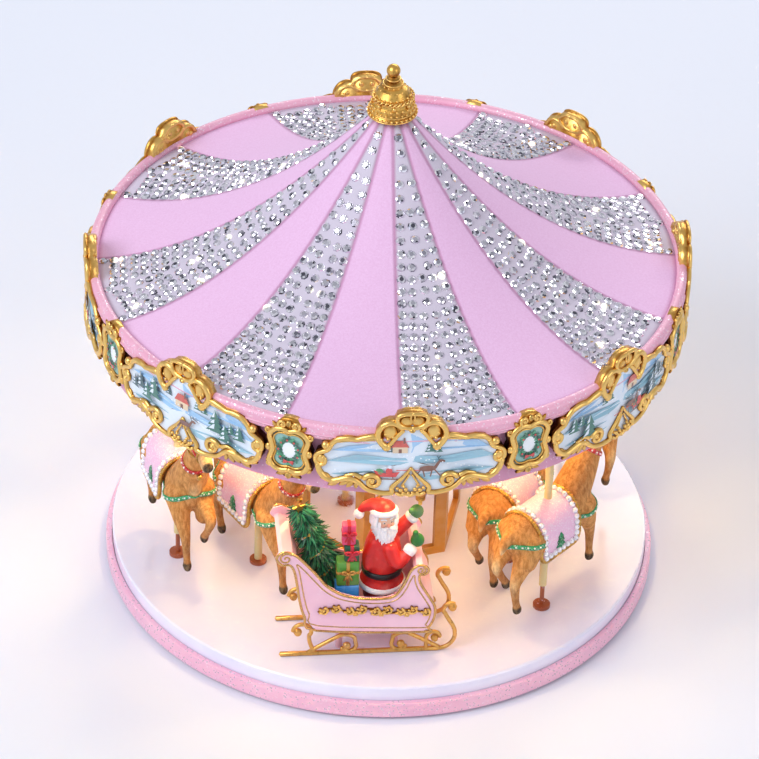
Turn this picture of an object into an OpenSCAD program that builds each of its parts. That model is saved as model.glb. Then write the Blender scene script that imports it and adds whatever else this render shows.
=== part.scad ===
// Carousel music box: a turning deck with reindeer and a sleigh under a jewelled canopy.
// Angles of stations are counted counter-clockwise from the front, which is -Y.

/* [Overall] */
// Radius over the rounded roof rim
rim_r = 150; // [140:1:160]
// Height of the deck's top face above the table
deck_top = 18.3; // [17.5:0.1:20]
// Height of the ceiling plate's underside
ceiling_z = 149.5; // [148:0.5:152]
// Top of the roof rim
rim_top = 185.8; // [184:0.2:187]
// Rise of the tent roof from its rim to its peak
roof_rise = 87; // [70:1:95]
// Top of the finial
finial_top = 296; // [290:1:300]

/* [Base] */
// Outer radius of the pink base
base_r = 142.9; // [141:0.1:146]
// Height of the base wall's top edge
base_top = 10.4; // [10:0.1:11]
// Wall thickness of the base
base_wall = 3; // [2:0.1:3.1]
// Height of the rubber feet
foot_h = 1.5; // [1:0.1:2]

/* [Deck and column] */
// Outer radius of the white deck
deck_r = 139.6; // [138:0.1:139.6]
// Thickness of the deck's top plate
deck_t = 2.5; // [2:0.1:3]
// Corner radius of the hexagonal column core
column_r = 42; // [38:1:44]
// Outer radius of the fixed centre post
post_r = 6; // [5:0.5:7]

/* [Reindeer ride] */
// Angle of the first outer pole from the front
station_angle = 44.5; // [40:0.5:50]
// Angle by which an inner pole leads its outer pole
inner_lead = 14; // [12:0.5:15]
// Radius of the circle of outer poles
outer_r = 110; // [108:0.5:112]
// Radius of the circle of inner poles
inner_r = 74.4; // [73:0.2:76]
// Lift from the lowest to the highest place
stroke = 12; // [8:0.5:12]
// Radius of the ivory pole sleeve
sleeve_r = 2; // [1.8:0.1:2.2]
// Radius of the copper guide rod inside the sleeve
rod_r = 1.15; // [1:0.05:1.25]

/* [Sleigh] */
// Place of the sleigh's middle on the deck, along X
sleigh_x = -20.6; // [-24:0.2:-16]
// Place of the sleigh's middle on the deck, along Y
sleigh_y = -97.5; // [-100:0.5:-95]
// Turn of the sleigh from the X axis
sleigh_turn = 1; // [-3:0.5:4]
// Width of the sleigh body
sleigh_w = 38.8; // [34:0.2:42]

/* [Hidden] */
stations = 6;  // round the deck, one of them the sleigh's
figure_x = 13.5;  // driver's place along the sleigh
bar_w = 2.2;  // width of the runner bars
fork_web = 1.6;  // web of the forks on the rings
$fn = 64;

eps = 0.01;
running = 0.08;                     // radial running clearance of shafts and sleeves
floor_t = 2;                        // floor of the base
floor_z = foot_h + floor_t;         // inside floor of the base
control_z = 6.6;                    // height of the button, knob and inlet
deck_under = deck_top - deck_t;     // underside of the deck plate
ceiling_t = 2.5;
ceiling_top = ceiling_z + ceiling_t;
fascia_r = 146;
fascia_t = 3;
fascia_bottom = 146;
rim_depth = 9;                      // height of the rounded rim's section
rim_w = 5.1;                        // its width
roof_edge = rim_r - rim_w;          // radius at which the roof meets the rim
roof_z0 = rim_top - 3.3;            // height of the roof at its edge
roof_t = 1.6;
peak_r = 8;                         // radius of the hole for the finial's spigot
stone_count = 8;                    // jewelled strips, and plain panels between them
stone_angle = 9.7;                  // middle of the first strip from the front
stone_t = 1.2;

// gears
drive_teeth = 120;
pinion_teeth = 12;
drive_module = 1;
drive_centre = (drive_teeth + pinion_teeth) / 2 * drive_module + 0.15;
motor_angle = 150;
gear_z = 10.3;
gear_w = 3;
crown_teeth = 20;
crown_mod = 1.6;
crank_teeth = 10;
crown_r = crown_teeth * crown_mod / 2;
crank_r = crank_teeth * crown_mod / 2;
crown_pitch_z = ceiling_top + 1.4;
crank_z = crown_pitch_z + crank_r;
crank_angle = 90;
crank_face_r = 60;                  // where the crank disc starts
pin_reach = stroke / 2;             // crank pin's offset from its shaft
yoke_r = 65.6;                      // inner face of the yoke plate

// lifting gear: the outer ring rests high while the inner ring rests low
ring_t = 3;
low_z = ceiling_top + 5;
high_z = low_z + stroke;
ring_w = 9;
rocker_r = 92.2;
rocker_len = 12;
rocker_z = low_z + ring_t / 2 + stroke / 2;
rocker_tilt = asin(stroke / 2 / rocker_len);
rocker_angles = [15, 135, 255];
sleeve_gap = 2.2;                   // lowest gap between sleeve end and deck
hoof_gap = 1.5;                     // lowest gap between hooves and deck
flange_h = 1.8;

// mirrored column
pane_w = column_r - 9;
pane_apothem = column_r * cos(30);
column_inner = (column_r - 2.4) * cos(30);

// picture frames on the fascia
frame_r = rim_r + 2.5;
large_mid = 167;                    // height of the middle of a large frame
small_mid = 168;

// places and heights inside the sleigh, above the deck
sleigh_floor = 22.5;
runner_y = 14.1;
gift_y = -8.1;
tree_y = 5.6;
tree_lean = 19.5;

function station(i) = station_angle + i * 360 / stations;
function roof_z(r) = let (t = 1 - r / roof_edge) roof_z0 + roof_rise * t * (t + 0.1);
function polar(r, a) = [r * cos(a), r * sin(a)];

// children stand at an angle from the front; local +X is the way the deck turns, -Y is outward
module at(a, r) rotate(a) translate([0, -r, 0]) children();
module each_station() for (i = [0 : stations - 2]) rotate(station(i)) children();
module ring(r1, r2, z1, z2) rotate_extrude($fn = 128) translate([r1, z1]) square([r2 - r1, z2 - z1]);
// a limb from p to q with round ends, r1 at p and r2 at q
module limb(p, q, r1, r2, n = 7) hull() {
  translate(p) sphere(r = r1, $fn = n);
  translate(q) sphere(r = r2, $fn = n);
}
// a spur gear's outline, with a tooth centred at angle 0
module gear_outline(n, m) {
  pitch_r = n * m / 2;
  step = 360 / n;
  tooth = [[-1.2, -0.30], [0.9, -0.12], [0.9, 0.12], [-1.2, 0.30]];
  polygon([for (i = [0 : n - 1]) for (t = tooth) polar(pitch_r + t[0] * m, (i + t[1]) * step)]);
}

// ---------- base ----------
module base_shell() color("pink") difference() {
  rotate_extrude($fn = 160) polygon([[0, foot_h], [base_r - 1, foot_h], [base_r - 0.3, foot_h + 0.3],
    [base_r, foot_h + 1], [base_r, base_top - 1], [base_r - 0.3, base_top - 0.3], [base_r - 1, base_top],
    [base_r - base_wall, base_top], [base_r - base_wall, floor_z], [34, floor_z], [34, floor_z + 3],
    [28, floor_z + 3], [28, floor_z], [0, floor_z]]);
  for (i = [0 : 3]) rotate(45 + 90 * i) translate([11, 0, floor_z - 1.5]) cylinder(h = 5, r = 1.2);
  at(180, base_r - 6) rotate([90, 0, 0]) translate([0, control_z, -2]) cylinder(h = 12, r = 2.5 + running);
  at(168, base_r - 6) rotate([90, 0, 0]) translate([0, control_z, -2]) cylinder(h = 12, r = 1.5 + running);
  at(192, base_r - 6) rotate([90, 0, 0]) translate([0, control_z, -2]) cylinder(h = 12, r = 3.05);
  for (i = [-2 : 2]) at(60, 100) translate([i * 6 - 1, -13, 0]) cube([2, 26, floor_z + 1]);
}

module rubber_feet() color("white")
  for (i = [0 : 4]) at(36 + 72 * i, 124) cylinder(h = foot_h, r = 7);

module post_screws() color("silver") for (i = [0 : 3]) rotate(45 + 90 * i) translate([11, 0, 0]) {
  translate([0, 0, floor_z - 1.5]) cylinder(h = 4, r = 1.2);
  translate([0, 0, floor_z + 2]) cylinder(h = 1.4, r = 2.3);
}

module drive_motor() color("silver") at(motor_angle, drive_centre) difference() {
  union() {
    translate([0, 0, floor_z]) cylinder(h = 5, r = 9);
    translate([0, 0, floor_z + 4]) cylinder(h = gear_z - floor_z - 4.4, r = 4);
    translate([0, 0, floor_z + 4]) cylinder(h = gear_z + gear_w - floor_z - 4, r = 1);
    for (s = [-1, 1]) translate([s * 11, 0, floor_z]) cylinder(h = 1.2, r = 3);
  }
  for (s = [-1, 1]) translate([s * 11.5, 0, floor_z - 1]) cylinder(h = 5, r = 1);
}

module motor_pinion() color("ivory") at(motor_angle, drive_centre) difference() {
  translate([0, 0, gear_z]) rotate(90 + 180 / pinion_teeth) linear_extrude(gear_w)
    gear_outline(pinion_teeth, drive_module);
  translate([0, 0, gear_z - 1]) cylinder(h = gear_w + 2, r = 1 + running);
}

module circuit_board() color("green") at(-60, 100) {
  translate([-25, -15, floor_z + 1]) cube([50, 30, 1.2]);
  for (x = [-22, 22]) for (y = [-12, 12]) translate([x, y, floor_z]) cylinder(h = 1, r = 2);
  translate([-12, -6, floor_z + 2.2]) cube([14, 12, 1.4]);
  translate([12, 4, floor_z + 2.2]) cylinder(h = 4, r = 2.5);
  translate([12, -5, floor_z + 2.2]) cylinder(h = 4, r = 2.5);
}

module speaker() color("dimgray") at(60, 100) rotate_extrude() polygon([
  [0, floor_z + 2], [13, floor_z + 0.4], [14.5, floor_z], [19, floor_z], [19, floor_z + 1.5],
  [13, floor_z + 3], [9, floor_z + 3.2], [9, floor_z + 6.5], [0, floor_z + 6.5]]);

module dc_inlet() color("black") at(192, base_r - 6) rotate([90, 0, 0]) translate([0, control_z, 0])
  difference() {
    union() {
      translate([0, 0, -7]) cylinder(h = 12.6, r = 2.75);
      translate([0, 0, -7]) cylinder(h = 9, r = 2.95);
    }
    translate([0, 0, -4]) cylinder(h = 12, r = 2);
  }

module power_button() color("white") at(180, base_r - 6) rotate([90, 0, 0]) translate([0, control_z, 0]) {
  translate([0, 0, -1]) cylinder(h = 8.5, r = 2.5);
  translate([0, 0, 1.7]) cylinder(h = 1, r = 3);
}

module volume_knob() color("white") at(168, base_r - 6) rotate([90, 0, 0]) translate([0, control_z, 0]) {
  translate([0, 0, -3]) cylinder(h = 10, r = 1.5);
  translate([0, 0, 6.6]) cylinder(h = 3, r = 3.2);
  translate([-0.4, 1.2, 9.4]) cube([0.8, 1.8, 0.5]);
}

module center_post() color("silver") difference() {
  union() {
    translate([0, 0, floor_z]) cylinder(h = 2, r = 15);
    translate([0, 0, floor_z + 1]) cylinder(h = crank_z + 12 - floor_z, r = post_r);
  }
  for (i = [0 : 3]) rotate(45 + 90 * i) translate([11, 0, floor_z - 1]) cylinder(h = 5, r = 1.2);
  translate([0, 0, floor_z - 1]) cylinder(h = crank_z + 20, r = post_r - 1.5);
}

module thrust_ring() color("white") ring(28.5, 33.5, floor_z + 3, floor_z + 4.5);

module slip_ring() color("gold") for (z = [120, 126]) difference() {
  translate([0, 0, z]) cylinder(h = 3, r = post_r + 2);
  translate([0, 0, z - 1]) cylinder(h = 5, r = post_r);
}

module brush_block() color("dimgray") at(station_angle + 30, 0) translate([-4, -column_inner, 119])
  cube([8, column_inner - post_r - 2 - running, 11]);

module crown_gear() color("ivory") {
  step = 360 / crown_teeth;
  depth = PI * 2 * crown_r / crown_teeth;
  root_z = crown_pitch_z - 1.2 * crown_mod;
  ring(post_r, crown_r + 2, root_z - 2.4, root_z);
  for (i = [0 : crown_teeth - 1]) rotate(crank_angle + (i + 0.5) * step) rotate([90, 0, 0])
    translate([0, root_z, crown_r - 2]) linear_extrude(4)
      polygon([[-0.28 * depth, -0.2], [-0.11 * depth, 2.05 * crown_mod],
               [0.11 * depth, 2.05 * crown_mod], [0.28 * depth, -0.2]]);
}

// ---------- turntable ----------
module deck() color("white") difference() {
  rotate_extrude($fn = 160) union() {
    translate([post_r + 2, deck_under]) square([deck_r - post_r - 3, deck_t]);
    translate([deck_r - 3, base_top - 0.5]) square([3, deck_top - base_top - 0.5]);
    translate([deck_r - 1, deck_top - 1]) circle(r = 1, $fn = 24);
    translate([29, floor_z + 4.7]) square([4, deck_under - floor_z - 4.6]);
  }
  each_station() {
    translate([0, -outer_r, deck_under - 1]) cylinder(h = deck_t + 2, r = rod_r);
    rotate(inner_lead) translate([0, -inner_r, deck_under - 1]) cylinder(h = deck_t + 2, r = rod_r);
  }
}

module drive_gear() color("ivory") difference() {
  union() {
    translate([0, 0, gear_z]) rotate(motor_angle - 90) linear_extrude(gear_w)
      gear_outline(drive_teeth, drive_module);
    translate([0, 0, gear_z + gear_w - 0.5]) cylinder(h = deck_under - gear_z - gear_w + 0.5, r = 57);
  }
  translate([0, 0, gear_z - 1]) cylinder(h = 10, r = 50, $fn = 128);
}

module hexagon(r, h) rotate(station_angle) cylinder(h = h, r = r, $fn = 6);

module column_core() color("ivory") difference() {
  translate([0, 0, deck_top]) rotate(30) hexagon(column_r, ceiling_z - deck_top);
  translate([0, 0, deck_top - 1]) rotate(30) hexagon(column_r - 2.4, ceiling_z);
}

module mirror_panels() color("lightcyan") for (i = [0 : 5]) at(station_angle + 30 + 60 * i, pane_apothem)
  translate([-pane_w / 2, -1.1, deck_top + 5]) cube([pane_w, 1, ceiling_z - deck_top - 10]);

module column_frame() color("darkgoldenrod") difference() {
  translate([0, 0, deck_top]) rotate(30) hexagon(column_r + 3, ceiling_z - deck_top);
  translate([0, 0, deck_top - 1]) rotate(30) hexagon(column_r + 0.1, ceiling_z);
  for (i = [0 : 5]) at(station_angle + 30 + 60 * i, pane_apothem)
    translate([-pane_w / 2 - 0.1, -6, deck_top + 4.9])
      cube([pane_w + 0.2, 8, ceiling_z - deck_top - 9.8]);
}

module ceiling_plate() color("mistyrose") difference() {
  translate([0, 0, ceiling_z]) cylinder(h = ceiling_t, r = fascia_r - fascia_t, $fn = 128);
  translate([0, 0, ceiling_z - 1]) cylinder(h = ceiling_t + 2, r = crown_r + 3);
  each_station() {
    translate([0, -outer_r, ceiling_z - 1]) cylinder(h = ceiling_t + 2, r = 3.4);
    rotate(inner_lead) translate([0, -inner_r, ceiling_z - 1]) cylinder(h = ceiling_t + 2, r = 3.4);
  }
}

module ceiling_lamps() color("khaki") for (i = [0 : 11]) at(station_angle + 22 + 30 * i, rocker_r)
  translate([0, 0, ceiling_z]) difference() {
    sphere(r = 3.5, $fn = 32);
    translate([-5, -5, 0]) cube(10);
  }

module pole_bush() difference() {
  union() {
    translate([0, 0, ceiling_z - 1.2]) cylinder(h = 1.2, r = 5);
    translate([0, 0, ceiling_z - 1]) cylinder(h = ceiling_t + 2, r = 3.4);
  }
  translate([0, 0, ceiling_z - 2]) cylinder(h = ceiling_t + 5, r = sleeve_r + running);
}
module pole_bushes() color("goldenrod") each_station() {
  translate([0, -outer_r, 0]) pole_bush();
  rotate(inner_lead) translate([0, -inner_r, 0]) pole_bush();
}

module canopy_fascia() color("palevioletred")
  ring(fascia_r - fascia_t, fascia_r, fascia_bottom, rim_top - rim_depth);

module roof_rim() color("pink") rotate_extrude($fn = 160) difference() {
  union() {
    translate([rim_r - rim_w, rim_top - rim_depth]) square([rim_w - 2, rim_depth - 2]);
    translate([rim_r - rim_w, rim_top - rim_depth + 2]) square([rim_w, rim_depth - 4]);
    translate([rim_r - 2, rim_top - rim_depth + 2]) circle(r = 2, $fn = 24);
    translate([rim_r - rim_w / 2, rim_top - rim_w / 2]) circle(r = rim_w / 2, $fn = 32);
    translate([fascia_r - fascia_t, rim_top - rim_depth]) square([5, 3]);
  }
}

// the roof's section, thick t, starting lift above the roof line, between two radii
module roof_section(r1, r2, lift, t) {
  n = 20;
  line = [for (i = [0 : n]) r2 + (r1 - r2) * i / n];
  polygon(concat([for (r = line) [r, roof_z(r) + lift]],
                 [for (i = [n : -1 : 0]) [line[i], roof_z(line[i]) + lift + t]]));
}
module roof_shell() color("plum") rotate_extrude($fn = 160)
  roof_section(peak_r, roof_edge, -roof_t, roof_t);

module stone_strips() color("gainsboro") for (i = [0 : stone_count - 1])
  rotate(stone_angle - 90 + (i - 0.25) * 360 / stone_count)
    rotate_extrude(angle = 180 / stone_count, $fn = 160) roof_section(13, roof_edge - 0.6, 0.02, stone_t);

// a curved plate on the fascia, cut to the children's flat outline, between two radii
module on_fascia(a, r1, r2) rotate(a) difference() {
  intersection() {
    ring(r1, r2, fascia_bottom - 5, rim_top + 20);
    rotate([90, 0, 0]) linear_extrude(rim_r + 10) children();
  }
  translate([0, 0, rim_top - rim_depth - 0.05]) cylinder(h = 40, r = rim_r + 0.05, $fn = 160);
}
module large_outline() {
  translate([-34, large_mid - 14]) square([68, 28]);
  for (s = [-1, 1]) {
    translate([s * 34, large_mid]) circle(r = 10, $fn = 48);
    translate([s * 37, large_mid + 8]) circle(r = 3.4, $fn = 32);
    translate([s * 12.5, large_mid + 16]) circle(r = 6.5, $fn = 32);
  }
  translate([-12.5, large_mid + 10]) square([25, 12]);
  translate([0, large_mid + 22]) circle(r = 8, $fn = 48);
  translate([0, large_mid - 12]) circle(r = 6.5, $fn = 32);
}
module large_window(gap) {
  translate([-32 + gap, large_mid - 8 + gap]) square([64 - 2 * gap, 16 - 2 * gap]);
  for (s = [-1, 1]) translate([s * 32, large_mid]) circle(r = 6 - gap, $fn = 48);
  translate([-24 + gap, large_mid - 10 + gap]) square([48 - 2 * gap, 20 - 2 * gap]);
}
module large_frames() color("goldenrod") for (i = [0 : 7]) on_fascia(45 * i, fascia_r, frame_r)
  difference() {
    large_outline();
    large_window(0);
  }
module large_pictures() color("lightblue") for (i = [0 : 7]) on_fascia(45 * i, fascia_r, fascia_r + 1.4)
  large_window(0.05);

module small_outline() {
  translate([-10, small_mid - 12]) square([20, 24]);
  translate([-12, small_mid - 7]) square([24, 16]);
  translate([0, small_mid + 12]) circle(r = 5, $fn = 32);
  translate([0, small_mid - 11]) circle(r = 5, $fn = 32);
}
module small_window(gap) translate([-7.5 + gap, small_mid - 9 + gap]) square([15 - 2 * gap, 18 - 2 * gap]);
module small_frames() color("goldenrod") for (i = [0 : 7])
  on_fascia(22.5 + 45 * i, fascia_r, frame_r - 1) difference() {
    small_outline();
    small_window(0);
  }
module small_pictures() color("seagreen") for (i = [0 : 7])
  on_fascia(22.5 + 45 * i, fascia_r, fascia_r + 1.4) small_window(0.05);

module finial() color("goldenrod") {
  lip_z = finial_top - 27;
  rotate_extrude() polygon([[0, lip_z - 12], [peak_r - 0.5, lip_z - 12], [peak_r - 0.5, lip_z],
    [11.4, lip_z], [12, lip_z + 0.8], [11.2, lip_z + 2], [10.8, lip_z + 5.4], [9.6, lip_z + 6.4],
    [8.9, lip_z + 11], [7, lip_z + 14], [4.8, lip_z + 15.2], [4.8, lip_z + 17], [3.4, lip_z + 18],
    [3.6, lip_z + 19.6], [2.2, lip_z + 20.6], [0, lip_z + 20.6]]);
  translate([0, 0, finial_top - 3.4]) sphere(r = 3.4);
}

module guide_rod() {
  translate([0, 0, deck_under]) cylinder(h = deck_t + 40, r = rod_r);
  translate([0, 0, deck_top]) cylinder(h = flange_h, r = 4.4);
}
module guide_rods() color("sienna") each_station() {
  translate([0, -outer_r, 0]) guide_rod();
  rotate(inner_lead) translate([0, -inner_r, 0]) guide_rod();
}

// ---------- sleigh ----------
module in_sleigh() translate([sleigh_x, sleigh_y, deck_top]) rotate(sleigh_turn) children();
// side panel outline, and the bent strip that makes the back, the floor and the dash
side_outline = [[-20.5, 20], [-26.5, 29], [-29, 38.5], [-30.5, 49], [-32, 58], [-34, 62.5], [-37, 62],
  [-39, 63], [-41.5, 66], [-40, 69.5], [-36, 70.5], [-31.5, 68], [-27.3, 63.5], [-21.3, 55.8],
  [-15.8, 48], [-9.1, 42.7], [-2, 40], [6, 38.8], [14, 38.8], [18.5, 40.6], [21.5, 45], [23.8, 50],
  [26, 56], [29.6, 59], [33.5, 58.3], [34.8, 55.3], [33, 53], [30, 53], [30.2, 50], [31.5, 46],
  [35.5, 38.5], [38.5, 32], [38.2, 25], [35.5, 19], [32.5, 16.5]];
back_strip = [[-18, 24], [-24.5, 30], [-27, 38.5], [-28.5, 49], [-30, 58], [-32.5, 64.5], [-37.5, 66.5],
  [-39.5, 65.5], [-37.5, 63], [-34, 62.6], [-32, 58], [-30.5, 49], [-29, 38.5], [-26.5, 29], [-20.5, 20],
  [32.5, 16.5], [35.5, 19], [38.2, 25], [38.5, 32], [35.5, 38.5], [31.5, 46], [30.2, 50], [30, 53],
  [33.2, 55], [32, 57], [29, 56], [27.8, 53], [28.2, 49.5], [29.6, 45.2], [33.4, 37.8], [36.3, 32],
  [36, 26], [33.5, 22.5]];
module sleigh_body() color("pink") in_sleigh() {
  for (s = [-1, 1]) translate([0, s * (sleigh_w / 2 - 0.9) + 0.9, 0]) rotate([90, 0, 0])
    linear_extrude(1.8) polygon(side_outline);
  translate([0, sleigh_w / 2 - 1, 0]) rotate([90, 0, 0]) linear_extrude(sleigh_w - 2) polygon(back_strip);
  for (x = [-8, 20]) for (y = [-8, 8]) translate([x, y, 0]) cylinder(h = 20, r = 1.8);
}

// flat bars in the runner's own plane: an arc round (x, z), and a straight bar with round ends
module arc_bar(x, z, r, a1, a2) {
  n = 10;
  turn = [for (i = [0 : n]) a1 + (a2 - a1) * i / n];
  translate([x, z]) polygon(concat([for (a = turn) polar(r + bar_w / 2, a)],
    [for (i = [n : -1 : 0]) polar(r - bar_w / 2, turn[i])]));
}
module straight_bar(p, q) {
  d = q - p;
  translate(p) rotate(atan2(d[1], d[0])) translate([0, -bar_w / 2]) square([norm(d), bar_w]);
  for (e = [p, q]) translate(e) circle(r = bar_w / 2, $fn = 16);
}
module knob(x, z, r) translate([x, z]) circle(r = r, $fn = 20);
module runner() translate([0, 1.2, 0]) rotate([90, 0, 0]) linear_extrude(2.4) offset(delta = eps) {
  translate([-38, 0.2]) square([80, bar_w]);
  arc_bar(41.4, 9.7, 8.4, -90, 22);
  straight_bar([49.2, 12.8], [44.2, 23.6]);
  arc_bar(47.2, 26.2, 3.7, 60, 222);
  knob(48, 27.6, 2.2);
  arc_bar(-27.2, 15.4, 4.6, -60, 175);
  knob(-29.4, 15.2, 2.1);
  straight_bar([-24.9, 11.4], [-21, 1.6]);
  arc_bar(38.8, 8.6, 3.4, 0, 185);
  knob(39.6, 8.2, 1.9);
  straight_bar([35.4, 8.4], [35.4, 1.6]);
  for (s = [0, 1]) translate([9, 0]) mirror([s, 0]) {
    straight_bar([-24, 1.8], [-11, 10.4]);
    arc_bar(-5.7, 6, 6.4, 38, 138);
    arc_bar(-3.6, 5.4, 3.7, -160, 60);
    knob(-4.6, 5.2, 2);
  }
}
module sleigh_runners() color("darkgoldenrod") in_sleigh() {
  for (s = [-1, 1]) translate([0, s * runner_y, 0]) runner();
}

module sleigh_ornaments() color("goldenrod") in_sleigh() for (s = [-1, 1])
  translate([0, s * (sleigh_w / 2 + 0.7), 0]) for (i = [0 : 6])
    translate([-14 + i * 7.6, 0, 31 - abs(i - 3) * 0.5]) rotate([90, 0, 0])
      translate([0, 0, -0.7]) cylinder(h = 1.4, r = 3.9 - 0.35 * abs(i - 3));

// the standing driver, facing partly forward and partly outward
module driver_figure() color("firebrick") in_sleigh() translate([figure_x, 0, 0]) {
  rotate_extrude($fn = 24) polygon([[0, sleigh_floor + 1.2], [9, sleigh_floor + 1.2], [10, 27],
    [10.4, 33], [11.4, 34.5], [11.4, 38], [10, 39], [9.4, 45], [9.6, 52], [8.8, 60], [6.5, 66],
    [3.5, 69], [0, 69]]);
  limb([0.5, -1, 75], [0, 0, 79.5], 6.4, 5, 14);
  limb([1.5, -5.5, 66], [0.5, -3, 72], 4.6, 5, 10);
  limb([0, 0, 79], [-9, 1, 82], 4.8, 2.2, 10);
  limb([-9, 1, 82], [-12, 1, 78], 2.2, 2.5, 10);
  limb([5, 4, 62], [15, 4, 72], 3.4, 3, 10);
  limb([15, 4, 72], [17.5, 4, 75.5], 3, 3.4, 10);
  limb([3, -8, 60], [7, -11, 53], 3.4, 2.9, 10);
  limb([7, -11, 53], [17.2, -5.6, 65.4], 2.9, 3.2, 10);
}

module hand_bell() color("gold") in_sleigh() translate([figure_x + 18.5, 4, 0]) rotate_extrude()
  polygon([[0, 79.4], [1, 79.4], [1, 82], [2.4, 82.6], [2.6, 85.5], [3.6, 88], [3.2, 88.4], [0, 88.4]]);

module fir_tree() color("darkgreen") in_sleigh() translate([-9.3, tree_y, 26]) rotate([0, -tree_lean, 0]) {
  cylinder(h = 8, r = 2, $fn = 24);
  for (i = [0 : 2]) translate([0, 0, 7 + i * 15]) cylinder(h = 22 - i, r1 = 9.6 - 1.9 * i, r2 = 2);
}

// a pile of parcels, each given as its middle, its size and the height of its underside
module gift_boxes() color("crimson") in_sleigh()
  for (g = [[-4.8, 12.2, 7.8, 23.8, 17.4], [-4.6, 11.6, 7.2, 41.4, 14.8], [-2.8, 7.8, 6.6, 56.4, 9.6],
            [-4.4, 7.2, 5, 66.2, 12.6]])
    translate([g[0] - g[1] / 2, gift_y - g[2] / 2, g[3]]) cube([g[1], g[2], g[4]]);

// ---------- lifting gear in the canopy ----------
module crank_shaft() color("silver") at(crank_angle, 0) translate([0, 0, crank_z]) rotate([90, 0, 0]) {
  translate([0, 0, crown_r - 1.5]) rotate(90 + 0.5 * 360 / crank_teeth) rotate(180 / crank_teeth)
    linear_extrude(3) gear_outline(crank_teeth, crown_mod);
  translate([0, 0, 13]) cylinder(h = crank_face_r - 13 + 1, r = 1.5);
  translate([0, 0, crank_face_r]) cylinder(h = 2.4, r = pin_reach + 1.6);
  translate([0, -pin_reach, crank_face_r + 2]) cylinder(h = 2.9, r = 1.2);
}

module crank_bracket() color("silver") at(crank_angle, 0) difference() {
  for (y = [27, 50]) translate([-5, -y - 3, ceiling_top]) cube([10, 3, crank_z - ceiling_top + 4]);
  translate([0, 0, crank_z]) rotate([90, 0, 0]) cylinder(h = 60, r = 1.5 + running);
}

module rocker_brackets() color("silver") for (a = rocker_angles) at(a, rocker_r) difference() {
  for (x = [-4.2, 2.2]) translate([x, -3, ceiling_top]) cube([2, 6, rocker_z - ceiling_top + 3]);
  translate([-6, 0, rocker_z]) rotate([0, 90, 0]) cylinder(h = 12, r = 1);
}

module rocker_arm(a) color("goldenrod") at(a, rocker_r) translate([0, 0, rocker_z]) {
  rotate([0, 90, 0]) translate([0, 0, -4]) cylinder(h = 8, r = 1 - running);
  rotate([-rocker_tilt, 0, 0]) {
    translate([-1.6, -rocker_len, -1]) cube([3.2, 2 * rocker_len, 2]);
    for (s = [-1, 1]) translate([-1.6, s * rocker_len, 0]) rotate([0, 90, 0]) cylinder(h = 3.2, r = 1);
  }
}

// forks on a ring that hold the ends of the rocker arms: a web at r_back, open towards r_open
module forks(r_open, r_back, z) {
  inward = r_open < r_back;
  slot = inward ? [r_open - 1, r_back - fork_web] : [r_back + fork_web, r_open + 1];
  for (a = rocker_angles) at(a, 0) difference() {
    translate([-2.5, -max(r_open, r_back), z - 2.1]) cube([5, abs(r_open - r_back), ring_t + 4.2]);
    translate([-3, -slot[1], z - 0.8]) cube([6, slot[1] - slot[0], ring_t + 1.6]);
  }
}
module outer_lift_ring() color("silver") difference() {
  union() {
    ring(outer_r - ring_w / 2, outer_r + ring_w / 2, high_z, high_z + ring_t);
    forks(outer_r - ring_w / 2 - 3.5, outer_r - ring_w / 2 + fork_web, high_z);
  }
  each_station() translate([0, -outer_r, high_z - 1]) cylinder(h = ring_t + 2, r = sleeve_r);
}

module inner_lift_ring() color("silver") difference() {
  union() {
    ring(inner_r - ring_w / 2, inner_r + ring_w / 2, low_z, low_z + ring_t);
    forks(inner_r + ring_w / 2 + 3.5, inner_r + ring_w / 2 - fork_web, low_z);
    at(crank_angle, yoke_r) translate([-10, -1.6, crank_z - pin_reach - 3.1]) cube([20, 1.6, 6.6]);
    at(crank_angle, yoke_r) for (x = [-10, 7]) translate([x, -5.5, low_z]) cube([3, 5.5, ring_t]);
  }
  each_station() rotate(inner_lead) translate([0, -inner_r, low_z - 1])
    cylinder(h = ring_t + 2, r = sleeve_r);
  at(crank_angle, yoke_r) translate([-7.8, -3, crank_z - pin_reach - 1.4]) cube([15.6, 5, 2.8]);
}

module pole(z1, z2) difference() {
  translate([0, 0, z1]) cylinder(h = z2 - z1, r = sleeve_r);
  translate([0, 0, z1 - 1]) cylinder(h = 62, r = rod_r + running);
}
module outer_poles() color("ivory") each_station() translate([0, -outer_r, 0])
  pole(deck_top + sleeve_gap + stroke, high_z + ring_t);
module inner_poles() color("ivory") each_station() rotate(inner_lead) translate([0, -inner_r, 0])
  pole(deck_top + sleeve_gap, low_z + ring_t);

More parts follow.
